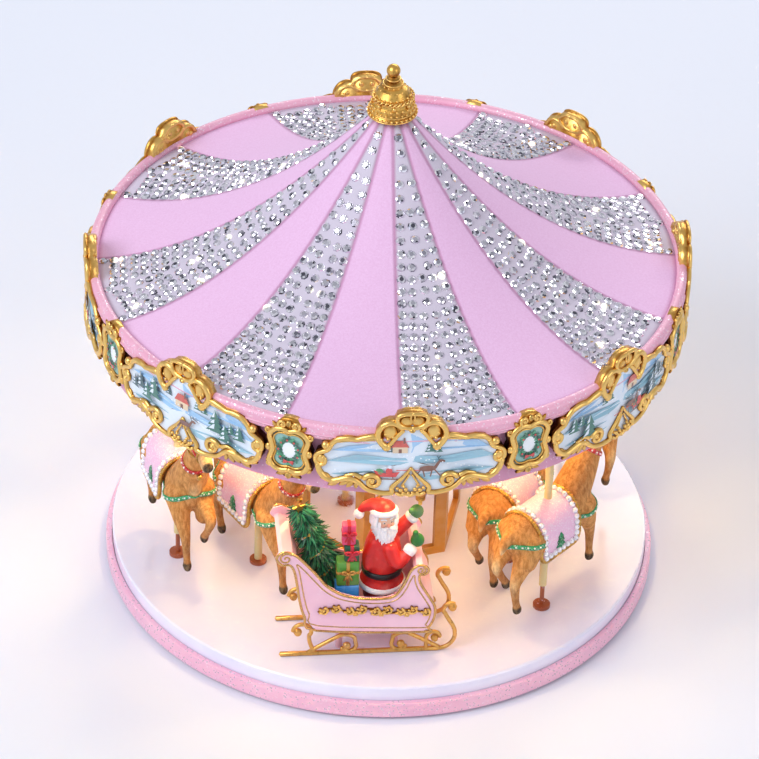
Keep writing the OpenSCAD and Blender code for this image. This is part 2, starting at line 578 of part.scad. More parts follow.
// a trotting reindeer, hooves at z = 0, pole through the origin, facing +X, outer side at -Y
module reindeer() color("peru") difference() {
  union() {
    limb([-20, 0, 43], [21, 0, 43], 12.2, 12.8, 14);
    limb([22, 0, 47], [37, 0, 85], 10.5, 5.8, 10);
    limb([38, 0, 86], [52, 0, 80.5], 6.8, 3.9, 10);
    for (s = [-1, 1]) {
      limb([35, s * 4.5, 90], [32, s * 9.5, 94], 1.9, 0.8, 5);
      limb([37, s * 2.5, 91], [34, s * 7, 102], 1.4, 1.1, 5);
      limb([34, s * 7, 102], [37, s * 9, 112], 1.1, 0.7, 5);
      limb([34, s * 7, 102], [28, s * 9, 108], 1, 0.7, 5);
    }
    limb([24, -5.5, 40], [30, -4.8, 22], 5.8, 3.2);
    limb([30, -4.8, 22], [31.5, -4.5, 7], 3, 3.2);
    limb([24, 5.5, 40], [38.5, 6, 36], 5.8, 3.2);
    limb([38.5, 6, 36], [30.5, 5, 20], 3, 3.2);
    limb([-24, -6, 38], [-30, -5.8, 20], 7.6, 3.4);
    limb([-30, -5.8, 20], [-27.5, -5.5, 3.2], 3.2, 3.4);
    limb([-24, 6, 38], [-31, 5, 25], 7.6, 3.4);
    limb([-31, 5, 25], [-24.5, 4.6, 14], 3.2, 3.4);
    limb([-31, 0, 46], [-35.5, 0, 38], 3, 1);
  }
  translate([0, 0, 20]) cylinder(h = 40, r = sleeve_r + 0.15, $fn = 16);
}
module outer_reindeer(i) rotate(station(i)) translate([0, -outer_r, deck_top + hoof_gap + stroke]) reindeer();
module inner_reindeer(i) rotate(station(i) + inner_lead) translate([0, -inner_r, deck_top + hoof_gap])
  reindeer();

base_shell();
rubber_feet();
post_screws();
drive_motor();
motor_pinion();
circuit_board();
speaker();
dc_inlet();
power_button();
volume_knob();
center_post();
thrust_ring();
slip_ring();
brush_block();
crown_gear();
deck();
drive_gear();
column_core();
mirror_panels();
column_frame();
ceiling_plate();
ceiling_lamps();
pole_bushes();
canopy_fascia();
roof_rim();
roof_shell();
stone_strips();
large_frames();
large_pictures();
small_frames();
small_pictures();
finial();
guide_rods();
sleigh_body();
sleigh_runners();
sleigh_ornaments();
driver_figure();
hand_bell();
fir_tree();
gift_boxes();
crank_shaft();
crank_bracket();
rocker_brackets();
rocker_arm(rocker_angles[0]);  // rocker_arm_1
rocker_arm(rocker_angles[1]);  // rocker_arm_2
rocker_arm(rocker_angles[2]);  // rocker_arm_3
outer_lift_ring();
outer_poles();
inner_lift_ring();
inner_poles();
outer_reindeer(0);  // outer_reindeer_1
outer_reindeer(1);  // outer_reindeer_2
outer_reindeer(2);  // outer_reindeer_3
outer_reindeer(3);  // outer_reindeer_4
outer_reindeer(4);  // outer_reindeer_5
inner_reindeer(0);  // inner_reindeer_1
inner_reindeer(1);  // inner_reindeer_2
inner_reindeer(2);  // inner_reindeer_3
inner_reindeer(3);  // inner_reindeer_4
inner_reindeer(4);  // inner_reindeer_5
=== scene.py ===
# %% [markdown]
# # A carousel music box
# This lesson dresses a finished engineering model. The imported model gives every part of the
# music box its place, its size and the body that it turns or rises with. Here the parts get
# their visible skins: rhinestones, gilt scrollwork, painted reindeer, cloth, fur and glitter.
# Everything is in metres and stands in the same frame as the model, so nothing is fitted by eye.

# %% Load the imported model
import math

import bmesh
import bpy
import numpy as np
from mathutils import Matrix, Vector
from mathutils.bvhtree import BVHTree


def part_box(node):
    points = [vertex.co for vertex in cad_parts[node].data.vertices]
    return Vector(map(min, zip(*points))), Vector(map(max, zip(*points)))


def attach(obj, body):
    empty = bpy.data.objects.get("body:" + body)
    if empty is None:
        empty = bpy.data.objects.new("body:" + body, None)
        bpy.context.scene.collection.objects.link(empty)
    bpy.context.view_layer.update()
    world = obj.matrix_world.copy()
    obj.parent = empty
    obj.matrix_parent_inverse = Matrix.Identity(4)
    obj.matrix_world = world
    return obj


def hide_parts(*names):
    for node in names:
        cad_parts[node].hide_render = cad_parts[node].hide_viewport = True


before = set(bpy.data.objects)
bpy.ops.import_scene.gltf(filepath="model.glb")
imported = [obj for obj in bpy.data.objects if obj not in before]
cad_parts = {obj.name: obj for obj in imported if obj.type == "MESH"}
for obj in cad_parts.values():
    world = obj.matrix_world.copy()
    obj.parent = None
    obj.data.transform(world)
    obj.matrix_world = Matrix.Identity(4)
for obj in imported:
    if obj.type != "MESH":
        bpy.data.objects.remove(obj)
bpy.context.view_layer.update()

MM = 0.001

# %% [markdown]
# ## Camera, floor and light
# A long lens looks down at the carousel from about thirty-six degrees, so the roof is the
# largest thing in view. The camera comes first because every later choice of detail depends
# on it. Studio light for a glossy toy is broad and soft: one large panel from the front left,
# a weaker one from the right, and a bright surround that metal and stones can mirror.

# %% Camera
VIEW_TURN = math.radians(-5.4)
VIEW_ELEVATION = math.radians(36.22)
VIEW_ROLL = math.radians(1.814)
VIEW_TARGET = Vector((-2.1, 0, 106.3)) * MM
VIEW_DISTANCE = 2.179

back = Vector((0, -math.cos(VIEW_ELEVATION), math.sin(VIEW_ELEVATION)))
right = Vector((1, 0, 0))
upward = back.cross(right)
rolled_right = right * math.cos(VIEW_ROLL) + upward * math.sin(VIEW_ROLL)
rolled_up = upward * math.cos(VIEW_ROLL) - right * math.sin(VIEW_ROLL)
camera_turn = Matrix((rolled_right, rolled_up, back)).transposed().to_4x4()
camera_data = bpy.data.cameras.new("camera")
camera_data.lens = 201.93
camera_data.sensor_width = 36
camera_data.clip_start = 0.05
camera = bpy.data.objects.new("camera", camera_data)
bpy.context.collection.objects.link(camera)
place = Matrix.Translation(VIEW_TARGET + back * VIEW_DISTANCE)
camera.matrix_world = Matrix.Rotation(VIEW_TURN, 4, "Z") @ place @ camera_turn
bpy.context.scene.camera = camera
bpy.context.scene.view_settings.view_transform = "Standard"
print("camera at, m:", [round(v, 3) for v in camera.matrix_world.translation])

# %% Floor, surround and lamps
def soft_light(name, place, aim, size, power, colour):
    data = bpy.data.lights.new(name, "AREA")
    data.shape = "RECTANGLE"
    data.size = size[0]
    data.size_y = size[1]
    data.energy = power
    data.color = colour
    lamp = bpy.data.objects.new(name, data)
    bpy.context.collection.objects.link(lamp)
    lamp.location = place
    lamp.rotation_euler = (Vector(aim) - Vector(place)).to_track_quat("-Z", "Y").to_euler()
    return lamp


soft_light("window_left", (-1.5, -0.9, 1.6), (0, 0, 0.1), (1.4, 1.2), 30, (0.93, 0.96, 1.0))
soft_light("fill_right", (1.5, -1.3, 0.9), (0, 0, 0.1), (1.0, 1.0), 7, (1.0, 0.95, 0.92))
soft_light("back_rim", (0.6, 1.7, 1.1), (0, 0, 0.15), (1.4, 0.5), 12, (1.0, 0.97, 0.95))

world = bpy.data.worlds.new("studio")
bpy.context.scene.world = world
world.use_nodes = True
world.node_tree.nodes["Background"].inputs["Color"].default_value = (0.88, 0.91, 1.0, 1)
world.node_tree.nodes["Background"].inputs["Strength"].default_value = 0.6

floor_mesh = bpy.data.meshes.new("floor")
floor_mesh.from_pydata([(-6, -6, 0), (6, -6, 0), (6, 6, 0), (-6, 6, 0)], [], [(0, 1, 2, 3)])
floor = bpy.data.objects.new("floor", floor_mesh)
bpy.context.collection.objects.link(floor)
# %% [markdown]
# ## Tools for finishes
# A finish is a small network of shader nodes. Wiring nodes by hand is slow to read, so one
# class stands for a value on its way through the network. It understands plus, minus, times
# and so on, and each sign adds its own Math node. Colours go through Mix nodes instead,
# because a Math node would turn them grey.

# %% Values that add their own Math nodes
class Flow:
    def __init__(self, wiring, socket):
        self.wiring = wiring
        self.socket = socket

    def maths(self, operation, first, second=0.0):
        wanted = {"operation": operation}
        return self.wiring.add("ShaderNodeMath", wanted, {0: first, 1: second})

    def __add__(self, other):
        return self.maths("ADD", self, other)

    def __radd__(self, other):
        return self.maths("ADD", other, self)

    def __sub__(self, other):
        return self.maths("SUBTRACT", self, other)

    def __rsub__(self, other):
        return self.maths("SUBTRACT", other, self)

    def __mul__(self, other):
        return self.maths("MULTIPLY", self, other)

    def __rmul__(self, other):
        return self.maths("MULTIPLY", other, self)

    def __truediv__(self, other):
        return self.maths("DIVIDE", self, other)

    def __pow__(self, other):
        return self.maths("POWER", self, other)

    def __gt__(self, other):
        return self.maths("GREATER_THAN", self, other)

    def __lt__(self, other):
        return self.maths("LESS_THAN", self, other)


# %% A finish: one material and the ways to add to it
def srgb(red, green, blue):
    def linear(v):
        v = v / 255
        return v / 12.92 if v <= 0.04045 else ((v + 0.055) / 1.055) ** 2.4
    return (linear(red), linear(green), linear(blue), 1.0)


class Wiring:
    def connect(self, value, socket):
        if isinstance(value, Flow):
            self.tree.links.new(value.socket, socket)
        else:
            socket.default_value = value

    def add(self, kind, settings=None, inputs=None, output=0):
        node = self.tree.nodes.new(kind)
        for setting, value in (settings or {}).items():
            if setting == "stops":
                ramp = node.color_ramp
                while len(ramp.elements) < len(value):
                    ramp.elements.new(0.5)
                for stop, (position, colour) in zip(ramp.elements, value):
                    stop.position = position
                    stop.color = colour
            else:
                setattr(node, setting, value)
        for socket, value in (inputs or {}).items():
            self.connect(value, node.inputs[socket])
        return Flow(self, node.outputs[output])


class Finish(Wiring):
    def __init__(self, name, **constants):
        self.material = bpy.data.materials.new(name)
        self.material.use_nodes = True
        self.tree = self.material.node_tree
        self.shader = self.tree.nodes["Principled BSDF"]
        for socket, value in constants.items():
            self.shader.inputs[socket.replace("_", " ")].default_value = value

    def spot(self, scale=(1, 1, 1), turn=(0, 0, 0)):
        where = self.add("ShaderNodeTexCoord", None, None, "Object")
        inputs = {"Vector": where, "Scale": scale, "Rotation": turn}
        return self.add("ShaderNodeMapping", None, inputs)

    def noise(self, scale, detail=3.0, where=None, rough=0.55):
        inputs = {"Scale": scale, "Detail": detail, "Roughness": rough,
                  "Vector": where or self.spot()}
        return self.add("ShaderNodeTexNoise", None, inputs)

    def cells(self, scale, output="Distance", where=None, feature="F1", flat=False):
        settings = {"feature": feature, "voronoi_dimensions": "2D" if flat else "3D"}
        inputs = {"Scale": scale, "Vector": where or self.spot()}
        return self.add("ShaderNodeTexVoronoi", settings, inputs, output)

    def stored(self, name, output="Fac"):
        return self.add("ShaderNodeAttribute", {"attribute_name": name}, None, output)

    def ease(self, value, low, high, out_low=0.0, out_high=1.0):
        settings = {"interpolation_type": "SMOOTHSTEP"}
        inputs = {"Value": value, "From Min": low, "From Max": high,
                  "To Min": out_low, "To Max": out_high}
        return self.add("ShaderNodeMapRange", settings, inputs)

    def mix(self, factor, first, second, way="MIX"):
        settings = {"data_type": "RGBA", "blend_type": way}
        return self.add("ShaderNodeMix", settings, {0: factor, 6: first, 7: second}, 2)

    def bump(self, height, distance, strength=1.0, under=None):
        inputs = {"Height": height, "Distance": distance, "Strength": strength}
        if under is not None:
            inputs["Normal"] = under
        return self.add("ShaderNodeBump", None, inputs)

    def feed(self, **values):
        for socket, value in values.items():
            self.connect(value, self.shader.inputs[socket.replace("_", " ")])
        return self.material


print("finish tools ready")

# %% [markdown]
# ## Tools for shapes
# Most small parts here are soft, cast shapes: scrolls, leaves, balls, limbs. A Clay object
# collects points and faces in millimetres, each point with a colour and a depth value, and
# turns them into one mesh at the end. A map can bend the whole lump, for instance round the
# canopy, before it is fired into a Blender object.

# %% Clay: points, faces and paint that become one mesh
class Clay:
    def __init__(self):
        self.points = []
        self.faces = []
        self.paint = []
        self.relief = []

    def add(self, points, faces, paint=(1, 1, 1), relief=1.0):
        start = len(self.points)
        self.points.extend([tuple(float(v) for v in p) for p in points])
        self.faces.extend([tuple(start + i for i in face) for face in faces])
        many = isinstance(paint, list)
        self.paint.extend(paint if many else [tuple(paint)] * len(points))
        deep = isinstance(relief, list)
        self.relief.extend(relief if deep else [float(relief)] * len(points))
        return self

    def coat(self, colour, relief):
        self.paint = [tuple(colour)] * len(self.points)
        self.relief = [float(relief)] * len(self.points)
        return self

    def join(self, other, way=None):
        points = [way(p) for p in other.points] if way else other.points
        return self.add(points, other.faces, list(other.paint), list(other.relief))

    def fire(self, name, body, finish, smooth=True, replaces=(), slot=None, weld=0.0):
        mesh = bpy.data.meshes.new(name)
        mesh.from_pydata([tuple(v * MM for v in p) for p in self.points], [], self.faces)
        colours = np.ones((len(self.points), 4), np.float32)
        colours[:, :3] = np.array(self.paint, np.float32)[:, :3]
        layer = mesh.color_attributes.new("paint", "FLOAT_COLOR", "POINT")
        layer.data.foreach_set("color", colours.ravel())
        depth = mesh.attributes.new("relief", "FLOAT", "POINT")
        depth.data.foreach_set("value", np.array(self.relief, np.float32))
        mesh.update()
        work = bmesh.new()
        work.from_mesh(mesh)
        if weld:
            bmesh.ops.remove_doubles(work, verts=work.verts, dist=weld * MM)
        bmesh.ops.recalc_face_normals(work, faces=work.faces)
        work.to_mesh(mesh)
        work.free()
        mesh.shade_smooth() if smooth else mesh.shade_flat()
        piece = bpy.data.objects.new(name, mesh)
        bpy.context.collection.objects.link(piece)
        mesh.materials.append(finish)
        settle(piece, body, replaces)
        return piece


def settle(piece, body, replaces=()):
    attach(piece, body)
    if replaces:
        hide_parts(*replaces)
    print(piece.name, "on", body, "-", len(piece.data.polygons), "faces")


# %% Rods, turnings, pebbles and plates
def sweep(path, radius, sides=8, flat=1.0, closed=False, up=None):
    path = [Vector(p) for p in path]
    count = len(path)
    radii = radius if isinstance(radius, (list, tuple)) else [radius] * count
    side = None
    rings = []
    for i, point in enumerate(path):
        ahead = path[(i + 1) % count] if closed or i < count - 1 else point
        behind = path[i - 1] if closed or i > 0 else point
        along = (ahead - behind).normalized()
        guess = Vector(up) if up else (side or Vector((0.31, 0.52, 0.79)))
        side = (guess - along * guess.dot(along)).normalized()
        across = along.cross(side)
        for k in range(sides):
            turn = math.tau * k / sides
            rings.append(point + side * (math.cos(turn) * radii[i] * flat)
                         + across * (math.sin(turn) * radii[i]))
    faces = []
    for i in range(count if closed else count - 1):
        near = i * sides
        far = (i + 1) % count * sides
        for k in range(sides):
            n = (k + 1) % sides
            faces.append((near + k, near + n, far + n, far + k))
    if not closed:
        tips = len(rings)
        ends = [(path[0], path[0] - path[1], radii[0], 0),
                (path[-1], path[-1] - path[-2], radii[-1], (count - 1) * sides)]
        for t, (point, out, size, first) in enumerate(ends):
            rings.append(point + out.normalized() * size * 0.6)
            for k in range(sides):
                n = (k + 1) % sides
                pair = (first + k, first + n) if t else (first + n, first + k)
                faces.append((*pair, tips + t))
    return rings, faces


def turning(profile, sides=48, centre=(0, 0)):
    points = []
    faces = []
    rows = []
    for r, z in profile:
        if r < 1e-6:
            rows.append([len(points)] * sides)
            points.append((centre[0], centre[1], z))
        else:
            rows.append(list(range(len(points), len(points) + sides)))
            for k in range(sides):
                a = math.tau * k / sides
                points.append((centre[0] + r * math.cos(a), centre[1] + r * math.sin(a), z))
    for low, high in zip(rows, rows[1:]):
        for k in range(sides):
            n = (k + 1) % sides
            ring = []
            for i in (low[k], low[n], high[n], high[k]):
                if i not in ring:
                    ring.append(i)
            if len(ring) > 2:
                faces.append(tuple(ring))
    return points, faces


def pebble(centre, radii, rings=6, sides=10):
    radii = (radii,) * 3 if isinstance(radii, (int, float)) else radii
    profile = [(math.sin(math.pi * i / rings), -math.cos(math.pi * i / rings))
               for i in range(rings + 1)]
    profile[0] = (0.0, -1.0)
    profile[-1] = (0.0, 1.0)
    points, faces = turning(profile, sides)
    return [tuple(c + p * r for c, p, r in zip(centre, point, radii)) for point in points], faces


def plate(outline, low, high, edge=0.0, middle=None):
    """A flat piece in the first two axes, domed a little towards the third."""
    count = len(outline)
    cx, cy = middle or (sum(p[0] for p in outline) / count, sum(p[1] for p in outline) / count)
    size = max(math.hypot(x - cx, y - cy) for x, y in outline)
    inner = 1 - edge / size
    points = [(x, y, low) for x, y in outline]
    points += [(x, y, high - edge) for x, y in outline]
    points += [(cx + (x - cx) * inner, cy + (y - cy) * inner, high) for x, y in outline]
    points += [(cx, cy, low), (cx, cy, high)]
    faces = []
    for row in range(2):
        for i in range(count):
            n = (i + 1) % count
            a = row * count
            faces.append((a + i, a + n, a + count + n, a + count + i))
    for i in range(count):
        n = (i + 1) % count
        faces.append((n, i, 3 * count))
        faces.append((2 * count + i, 2 * count + n, 3 * count + 1))
    return points, faces


def smooth_line(points, steps=6, closed=False):
    """A Catmull-Rom curve through the given points."""
    pts = [Vector(p) for p in points]
    count = len(pts)
    line = []
    for i in range(count if closed else count - 1):
        p0 = pts[i - 1] if closed or i else pts[0] * 2 - pts[1]
        p1 = pts[i]
        p2 = pts[(i + 1) % count]
        last = pts[-1] * 2 - pts[-2]
        p3 = pts[(i + 2) % count] if closed or i < count - 2 else last
        for s in range(steps):
            t = s / steps
            line.append(0.5 * ((2 * p1) + (p2 - p0) * t + (2 * p0 - 5 * p1 + 4 * p2 - p3) * t * t
                               + (3 * p1 - p0 - 3 * p2 + p3) * t ** 3))
    if not closed:
        line.append(pts[-1])
    return line


def spiral(centre, start_radius, end_radius, start, turns, steps=20):
    """Points of a flat curl, angles in degrees."""
    line = []
    for i in range(steps + 1):
        t = i / steps
        a = math.radians(start + 360 * turns * t)
        r = start_radius + (end_radius - start_radius) * t
        line.append((centre[0] + r * math.cos(a), centre[1] + r * math.sin(a), 0))
    return line


def circle(radius, height, count):
    return [(radius * math.cos(math.tau * k / count), radius * math.sin(math.tau * k / count), height)
            for k in range(count)]


print("shape tools ready")
# %% [markdown]
# ## Patterns that follow a rule
# The roof cloth, its stones and the fir's needles follow a rule, so they are grown by Geometry
# Nodes. A Pattern is a node tree with named sizes. Growing it makes a plain mesh, so nothing
# live is left behind for the export to drop.

# %% A pattern: one geometry tree with named sizes
class Pattern(Wiring):
    def __init__(self, name, **sizes):
        self.tree = bpy.data.node_groups.new(name, "GeometryNodeTree")
        face = self.tree.interface
        face.new_socket("Geometry", in_out="OUTPUT", socket_type="NodeSocketGeometry")
        face.new_socket("Geometry", in_out="INPUT", socket_type="NodeSocketGeometry")
        self.values = {}
        for label, value in sizes.items():
            kind = "NodeSocketInt" if isinstance(value, int) else "NodeSocketFloat"
            socket = face.new_socket(label, in_out="INPUT", socket_type=kind)
            self.values[socket.identifier] = value
        self.entry = self.tree.nodes.new("NodeGroupInput")
        self.exit = self.tree.nodes.new("NodeGroupOutput")

    def size(self, label):
        return Flow(self, self.entry.outputs[label])

    def maths(self, operation, first, second=0.0):
        return self.add("ShaderNodeMath", {"operation": operation}, {0: first, 1: second})

    def vector(self, x, y, z):
        return self.add("ShaderNodeCombineXYZ", None, {0: x, 1: y, 2: z})

    def random(self, low, high, seed):
        settings = {"data_type": "FLOAT"}
        return self.add("FunctionNodeRandomValue", settings, {2: low, 3: high, 8: seed}, 1)

    def keep_value(self, geometry, name, value, domain="POINT"):
        settings = {"data_type": "FLOAT", "domain": domain}
        inputs = {"Geometry": geometry, "Name": name, "Value": value}
        return self.add("GeometryNodeStoreNamedAttribute", settings, inputs)

    def grow(self, geometry, name, finish, extra=None):
        real = self.add("GeometryNodeRealizeInstances", None, {"Geometry": geometry})
        if extra:
            real = extra(real)
        done = self.add("GeometryNodeSetMaterial", None, {"Geometry": real, "Material": finish})
        self.tree.links.new(done.socket, self.exit.inputs[0])
        seed_mesh = bpy.data.meshes.new(name + "_seed")
        holder = bpy.data.objects.new(name + "_seed", seed_mesh)
        bpy.context.collection.objects.link(holder)
        modifier = holder.modifiers.new("pattern", "NODES")
        modifier.node_group = self.tree
        for identifier, value in self.values.items():
            modifier[identifier] = value
        return holder


def plain(holder, name, finish, smooth):
    """The evaluated shape as an ordinary mesh, with the modifiers left behind."""
    graph = bpy.context.evaluated_depsgraph_get()
    mesh = bpy.data.meshes.new_from_object(holder.evaluated_get(graph))
    bpy.data.objects.remove(holder)
    mesh.name = name
    mesh.materials.clear()
    mesh.materials.append(finish)
    mesh.shade_smooth() if smooth else mesh.shade_flat()
    piece = bpy.data.objects.new(name, mesh)
    bpy.context.collection.objects.link(piece)
    return piece


# %% [markdown]
# ## The roof cloth
# The roof is a stiff shell with a satin skin drawn tight over it, a shallow tent that steepens
# towards the middle. Its height follows one rule of the radius, so the skin is a grid whose
# columns are turned into angles and whose rows are turned into radii. The grid lines fall
# exactly on the sixteen seams, and each point keeps its distance to the nearest seam, which
# the finish uses to pinch the cloth there and to paint shade into the pinch.

# %% Sizes of the roof
ROOF_EDGE = 144.9
ROOF_FOOT = 182.5
ROOF_RISE = 87.0
STRIPS = 8
STRIP_ANGLE = math.radians(22.5)
FIRST_STRIP = math.radians(9.7)


# %% The satin finish
satin = Finish("roof_satin", Sheen_Weight=0.35, Sheen_Roughness=0.45, Specular_IOR_Level=0.3)
satin.shader.inputs["Sheen Tint"].default_value = srgb(250, 225, 250)
seam = satin.stored("seam")
threads = satin.noise(900, 2.0) * 0.5 + satin.noise(2600, 1.0) * 0.5
near_seam = 1 - satin.ease(seam, 0.0, 1.6)
soft_shade = satin.noise(14, 2.0)
cloth_colour = satin.mix(satin.ease(threads, 0.3, 0.7), srgb(227, 181, 217), srgb(238, 198, 232))
cloth_colour = satin.mix(soft_shade * 0.35, cloth_colour, srgb(242, 194, 226))
under_stones = satin.stored("strip")
cloth_colour = satin.mix(under_stones * 0.85, cloth_colour, srgb(204, 201, 212))
# Painted shade: the cloth turns a deeper pink close to each seam, where shade falls in the pinch.
cloth_colour = satin.mix(near_seam * 0.7, cloth_colour, srgb(186, 120, 160))
cloth_bump = satin.bump(threads, 0.00012, 0.6)
cloth_bump = satin.bump(near_seam * -1, 0.0005, 0.8, cloth_bump)
satin.feed(Base_Color=cloth_colour, Roughness=0.62 + threads * 0.2, Normal=cloth_bump)
print("satin nodes:", len(satin.tree.nodes))

# %% Grow the roof cloth
skin = Pattern("roof_skin_pattern", Edge=ROOF_EDGE * MM, Foot=ROOF_FOOT * MM + 0.00004,
               Rise=ROOF_RISE * MM, Peak=9.0 * MM, Seams=16, First=FIRST_STRIP)
grid = skin.add("GeometryNodeMeshGrid", None, {"Size X": 1.0, "Size Y": 1.0,
                                               "Vertices X": 385, "Vertices Y": 49})
spot = skin.add("GeometryNodeInputPosition")
x_part = skin.add("ShaderNodeSeparateXYZ", None, {0: spot}, 0)
y_part = skin.add("ShaderNodeSeparateXYZ", None, {0: spot}, 1)
wedge = math.tau / 16
angle = (x_part + 0.5) * math.tau + skin.size("First") + wedge / 2
radius = skin.size("Peak") + (y_part + 0.5) * (skin.size("Edge") - skin.size("Peak"))
t = 1 - radius / skin.size("Edge")
height = skin.size("Foot") + skin.size("Rise") * t * (t + 0.1)
within = skin.maths("FLOORED_MODULO", (x_part + 0.5) * skin.size("Seams"), 1.0)
to_seam = skin.maths("MINIMUM", within, 1 - within) * wedge * radius * 1000
belly = skin.maths("MINIMUM", to_seam / 12, 1.0)
sunk = height - (1 - belly) * 0.0002
sunk_place = skin.vector(skin.maths("SINE", angle) * radius,
                         skin.maths("COSINE", angle) * radius * -1, sunk)
shaped = skin.keep_value(grid, "seam", to_seam)
wedge_count = skin.maths("FLOOR", (x_part + 0.5) * skin.size("Seams"))
shaped = skin.keep_value(shaped, "strip", skin.maths("FLOORED_MODULO", wedge_count, 2.0), "FACE")
shaped = skin.add("GeometryNodeSetPosition", None, {"Geometry": shaped, "Position": sunk_place})
shaped = skin.add("GeometryNodeMergeByDistance", None, {"Geometry": shaped, "Distance": 1e-6})
shaped = skin.add("GeometryNodeFlipFaces", None, {"Mesh": shaped})
holder = skin.grow(shaped, "roof_skin", satin.material)
wall = holder.modifiers.new("cloth_thickness", "SOLIDIFY")
wall.thickness = 0.25 * MM
wall.offset = 1
roof_skin = plain(holder, "roof_skin", satin.material, True)
settle(roof_skin, "turntable")

# %% [markdown]
# ## Rhinestones
# Eight strips of foil-backed stones run from the peak to the rim. Each strip is cut from
# sheets whose rows follow the two edges, so the rows meet in a seam down the middle. The
# pattern counts through strips, halves, rows and columns, keeps the stones that fall inside
# their wedge, and stands each one square on the curved roof with a slight random tip. The
# facets get random brightness, painted reflections which make crystal look like crystal; the
# flat tables get a painted dark reflection, and small warm spots glow on them as painted glints.

# %% The stone finish
stones = Finish("rhinestone", Metallic=0.85, Roughness=0.1)
glint = stones.stored("glint")
table = stones.stored("table")
tone = stones.stored("tone")
# Painted reflections: each facet's silver is lighter or darker at random, from the glint value.
silver_and_painted_glints = stones.add("ShaderNodeValToRGB", {"stops": [
    (0.0, srgb(64, 64, 74)), (0.12, srgb(140, 140, 150)), (0.24, srgb(214, 212, 222)),
    (0.5, srgb(244, 243, 248)), (1.0, (1, 1, 1, 1))]}, {0: glint})
silver_and_painted_glints = stones.mix(tone * 0.3, silver_and_painted_glints, srgb(226, 208, 226), "MULTIPLY")
# Painted dark reflection on the flat table of each stone.
silver_and_painted_glints = stones.mix(table * 0.4, silver_and_painted_glints, srgb(112, 112, 122))
# Painted glints: small warm spots glow on the stones, and no lamp sits beneath them.
glint_spot_gap = stones.cells(34, "Distance", None, "F1", True)
glint_spot_pick = stones.add("ShaderNodeSeparateColor", None, {
    0: stones.cells(34, "Color", None, "F1", True)}, 0)
glow = stones.ease(glint_spot_gap, 0.11, 0.02) * (glint_spot_pick > 0.12)
warm = stones.mix(glow, srgb(0, 0, 0), srgb(255, 246, 214))
stones.feed(Base_Color=silver_and_painted_glints, Emission_Color=warm, Roughness=0.06 + tone * 0.12)
stones.shader.inputs["Emission Strength"].default_value = 2.2

# %% Sizes of the stones
STONE_PITCH = 5.15
STONE_SIZE = 4.95
gem = Pattern("rhinestone_pattern", Strips=STRIPS, Rows=27, Columns=6, Pitch=STONE_PITCH * MM,
              Stone=STONE_SIZE / 2 * MM, Inner=13.5 * MM, Outer=142.3 * MM,
              Edge=ROOF_EDGE * MM, Foot=(ROOF_FOOT + 0.3) * MM, Rise=ROOF_RISE * MM,
              Strip_Angle=STRIP_ANGLE, First=FIRST_STRIP, Seed=7)


def counted(number, every):
    whole = gem.maths("FLOOR", gem.maths("DIVIDE", number, every))
    return whole, number - whole * every


# %% One stone: a wide lower crown, a narrower upper crown and a flat table
def crown(foot, top, low, depth, table_value, fill):
    settings = {"fill_type": fill}
    inputs = {"Vertices": 8, "Radius Top": top, "Radius Bottom": foot, "Depth": depth}
    cone = gem.add("GeometryNodeMeshCone", settings, inputs)
    move = {"Geometry": cone, "Translation": (0, 0, low), "Rotation": (0, 0, table_value * 0.39)}
    cone = gem.add("GeometryNodeTransform", None, move)
    return gem.keep_value(cone, "crown", table_value, "FACE")


lower = crown(1.0, 0.8, 0.0, 0.26, 0.0, "NGON")
upper = crown(0.8, 0.46, 0.26, 0.22, 1.0, "NGON")
stone = gem.add("GeometryNodeJoinGeometry")
for part in (lower, upper):
    gem.tree.links.new(part.socket, stone.socket.node.inputs[0])

# %% Where the stones go
index = gem.add("GeometryNodeInputIndex")
rest, column = counted(index, gem.size("Columns"))
rest, row = counted(rest, gem.size("Rows"))
strip, family = counted(rest, 3)
middle = gem.maths("GREATER_THAN", family, 1.5)
sign = (family * 2 - 1) * (1 - middle)
half = gem.size("Strip_Angle") / 2
along = gem.size("Inner") + row * gem.size("Pitch")
across = (column + 0.5) * gem.size("Pitch")
reach = along * gem.maths("TANGENT", half)
edge_angle = gem.size("First") + strip * (math.tau / STRIPS) + sign * half
sine = gem.maths("SINE", edge_angle)
cosine = gem.maths("COSINE", edge_angle)
stone_x = sine * along - sign * cosine * across
stone_y = cosine * along * -1 - sign * sine * across
stone_r = gem.maths("SQRT", stone_x * stone_x + stone_y * stone_y)
spare = reach / gem.size("Pitch")
spare = spare - gem.maths("FLOOR", spare)
fits = gem.maths("LESS_THAN", across + gem.size("Pitch") * 0.5, reach)
fits = fits * (1 - middle) + middle * (spare > 0.4) * (column < 0.5)
fits = fits * (stone_r < gem.size("Outer"))

# %% Stand them on the roof
t = 1 - stone_r / gem.size("Edge")
stone_z = gem.size("Foot") + gem.size("Rise") * t * (t + 0.1)
cloud = gem.add("GeometryNodePoints", None, {
    "Count": gem.size("Strips") * gem.size("Rows") * gem.size("Columns") * 3,
    "Position": gem.vector(stone_x, stone_y, stone_z)})
cloud = gem.add("GeometryNodeDeleteGeometry", {"domain": "POINT"}, {
    "Geometry": cloud, "Selection": 1 - fits})
spot = gem.add("GeometryNodeInputPosition")
here_x = gem.add("ShaderNodeSeparateXYZ", None, {0: spot}, 0)
here_y = gem.add("ShaderNodeSeparateXYZ", None, {0: spot}, 1)
here_r = gem.maths("SQRT", here_x * here_x + here_y * here_y)
slope = gem.size("Rise") / gem.size("Edge") * ((1 - here_r / gem.size("Edge")) * 2 + 0.1)
tip_x = gem.random(-0.07, 0.07, gem.size("Seed"))
tip_y = gem.random(-0.07, 0.07, gem.size("Seed") + 1)
normal = gem.vector(here_x / here_r * slope + tip_x, here_y / here_r * slope + tip_y, 1.0)
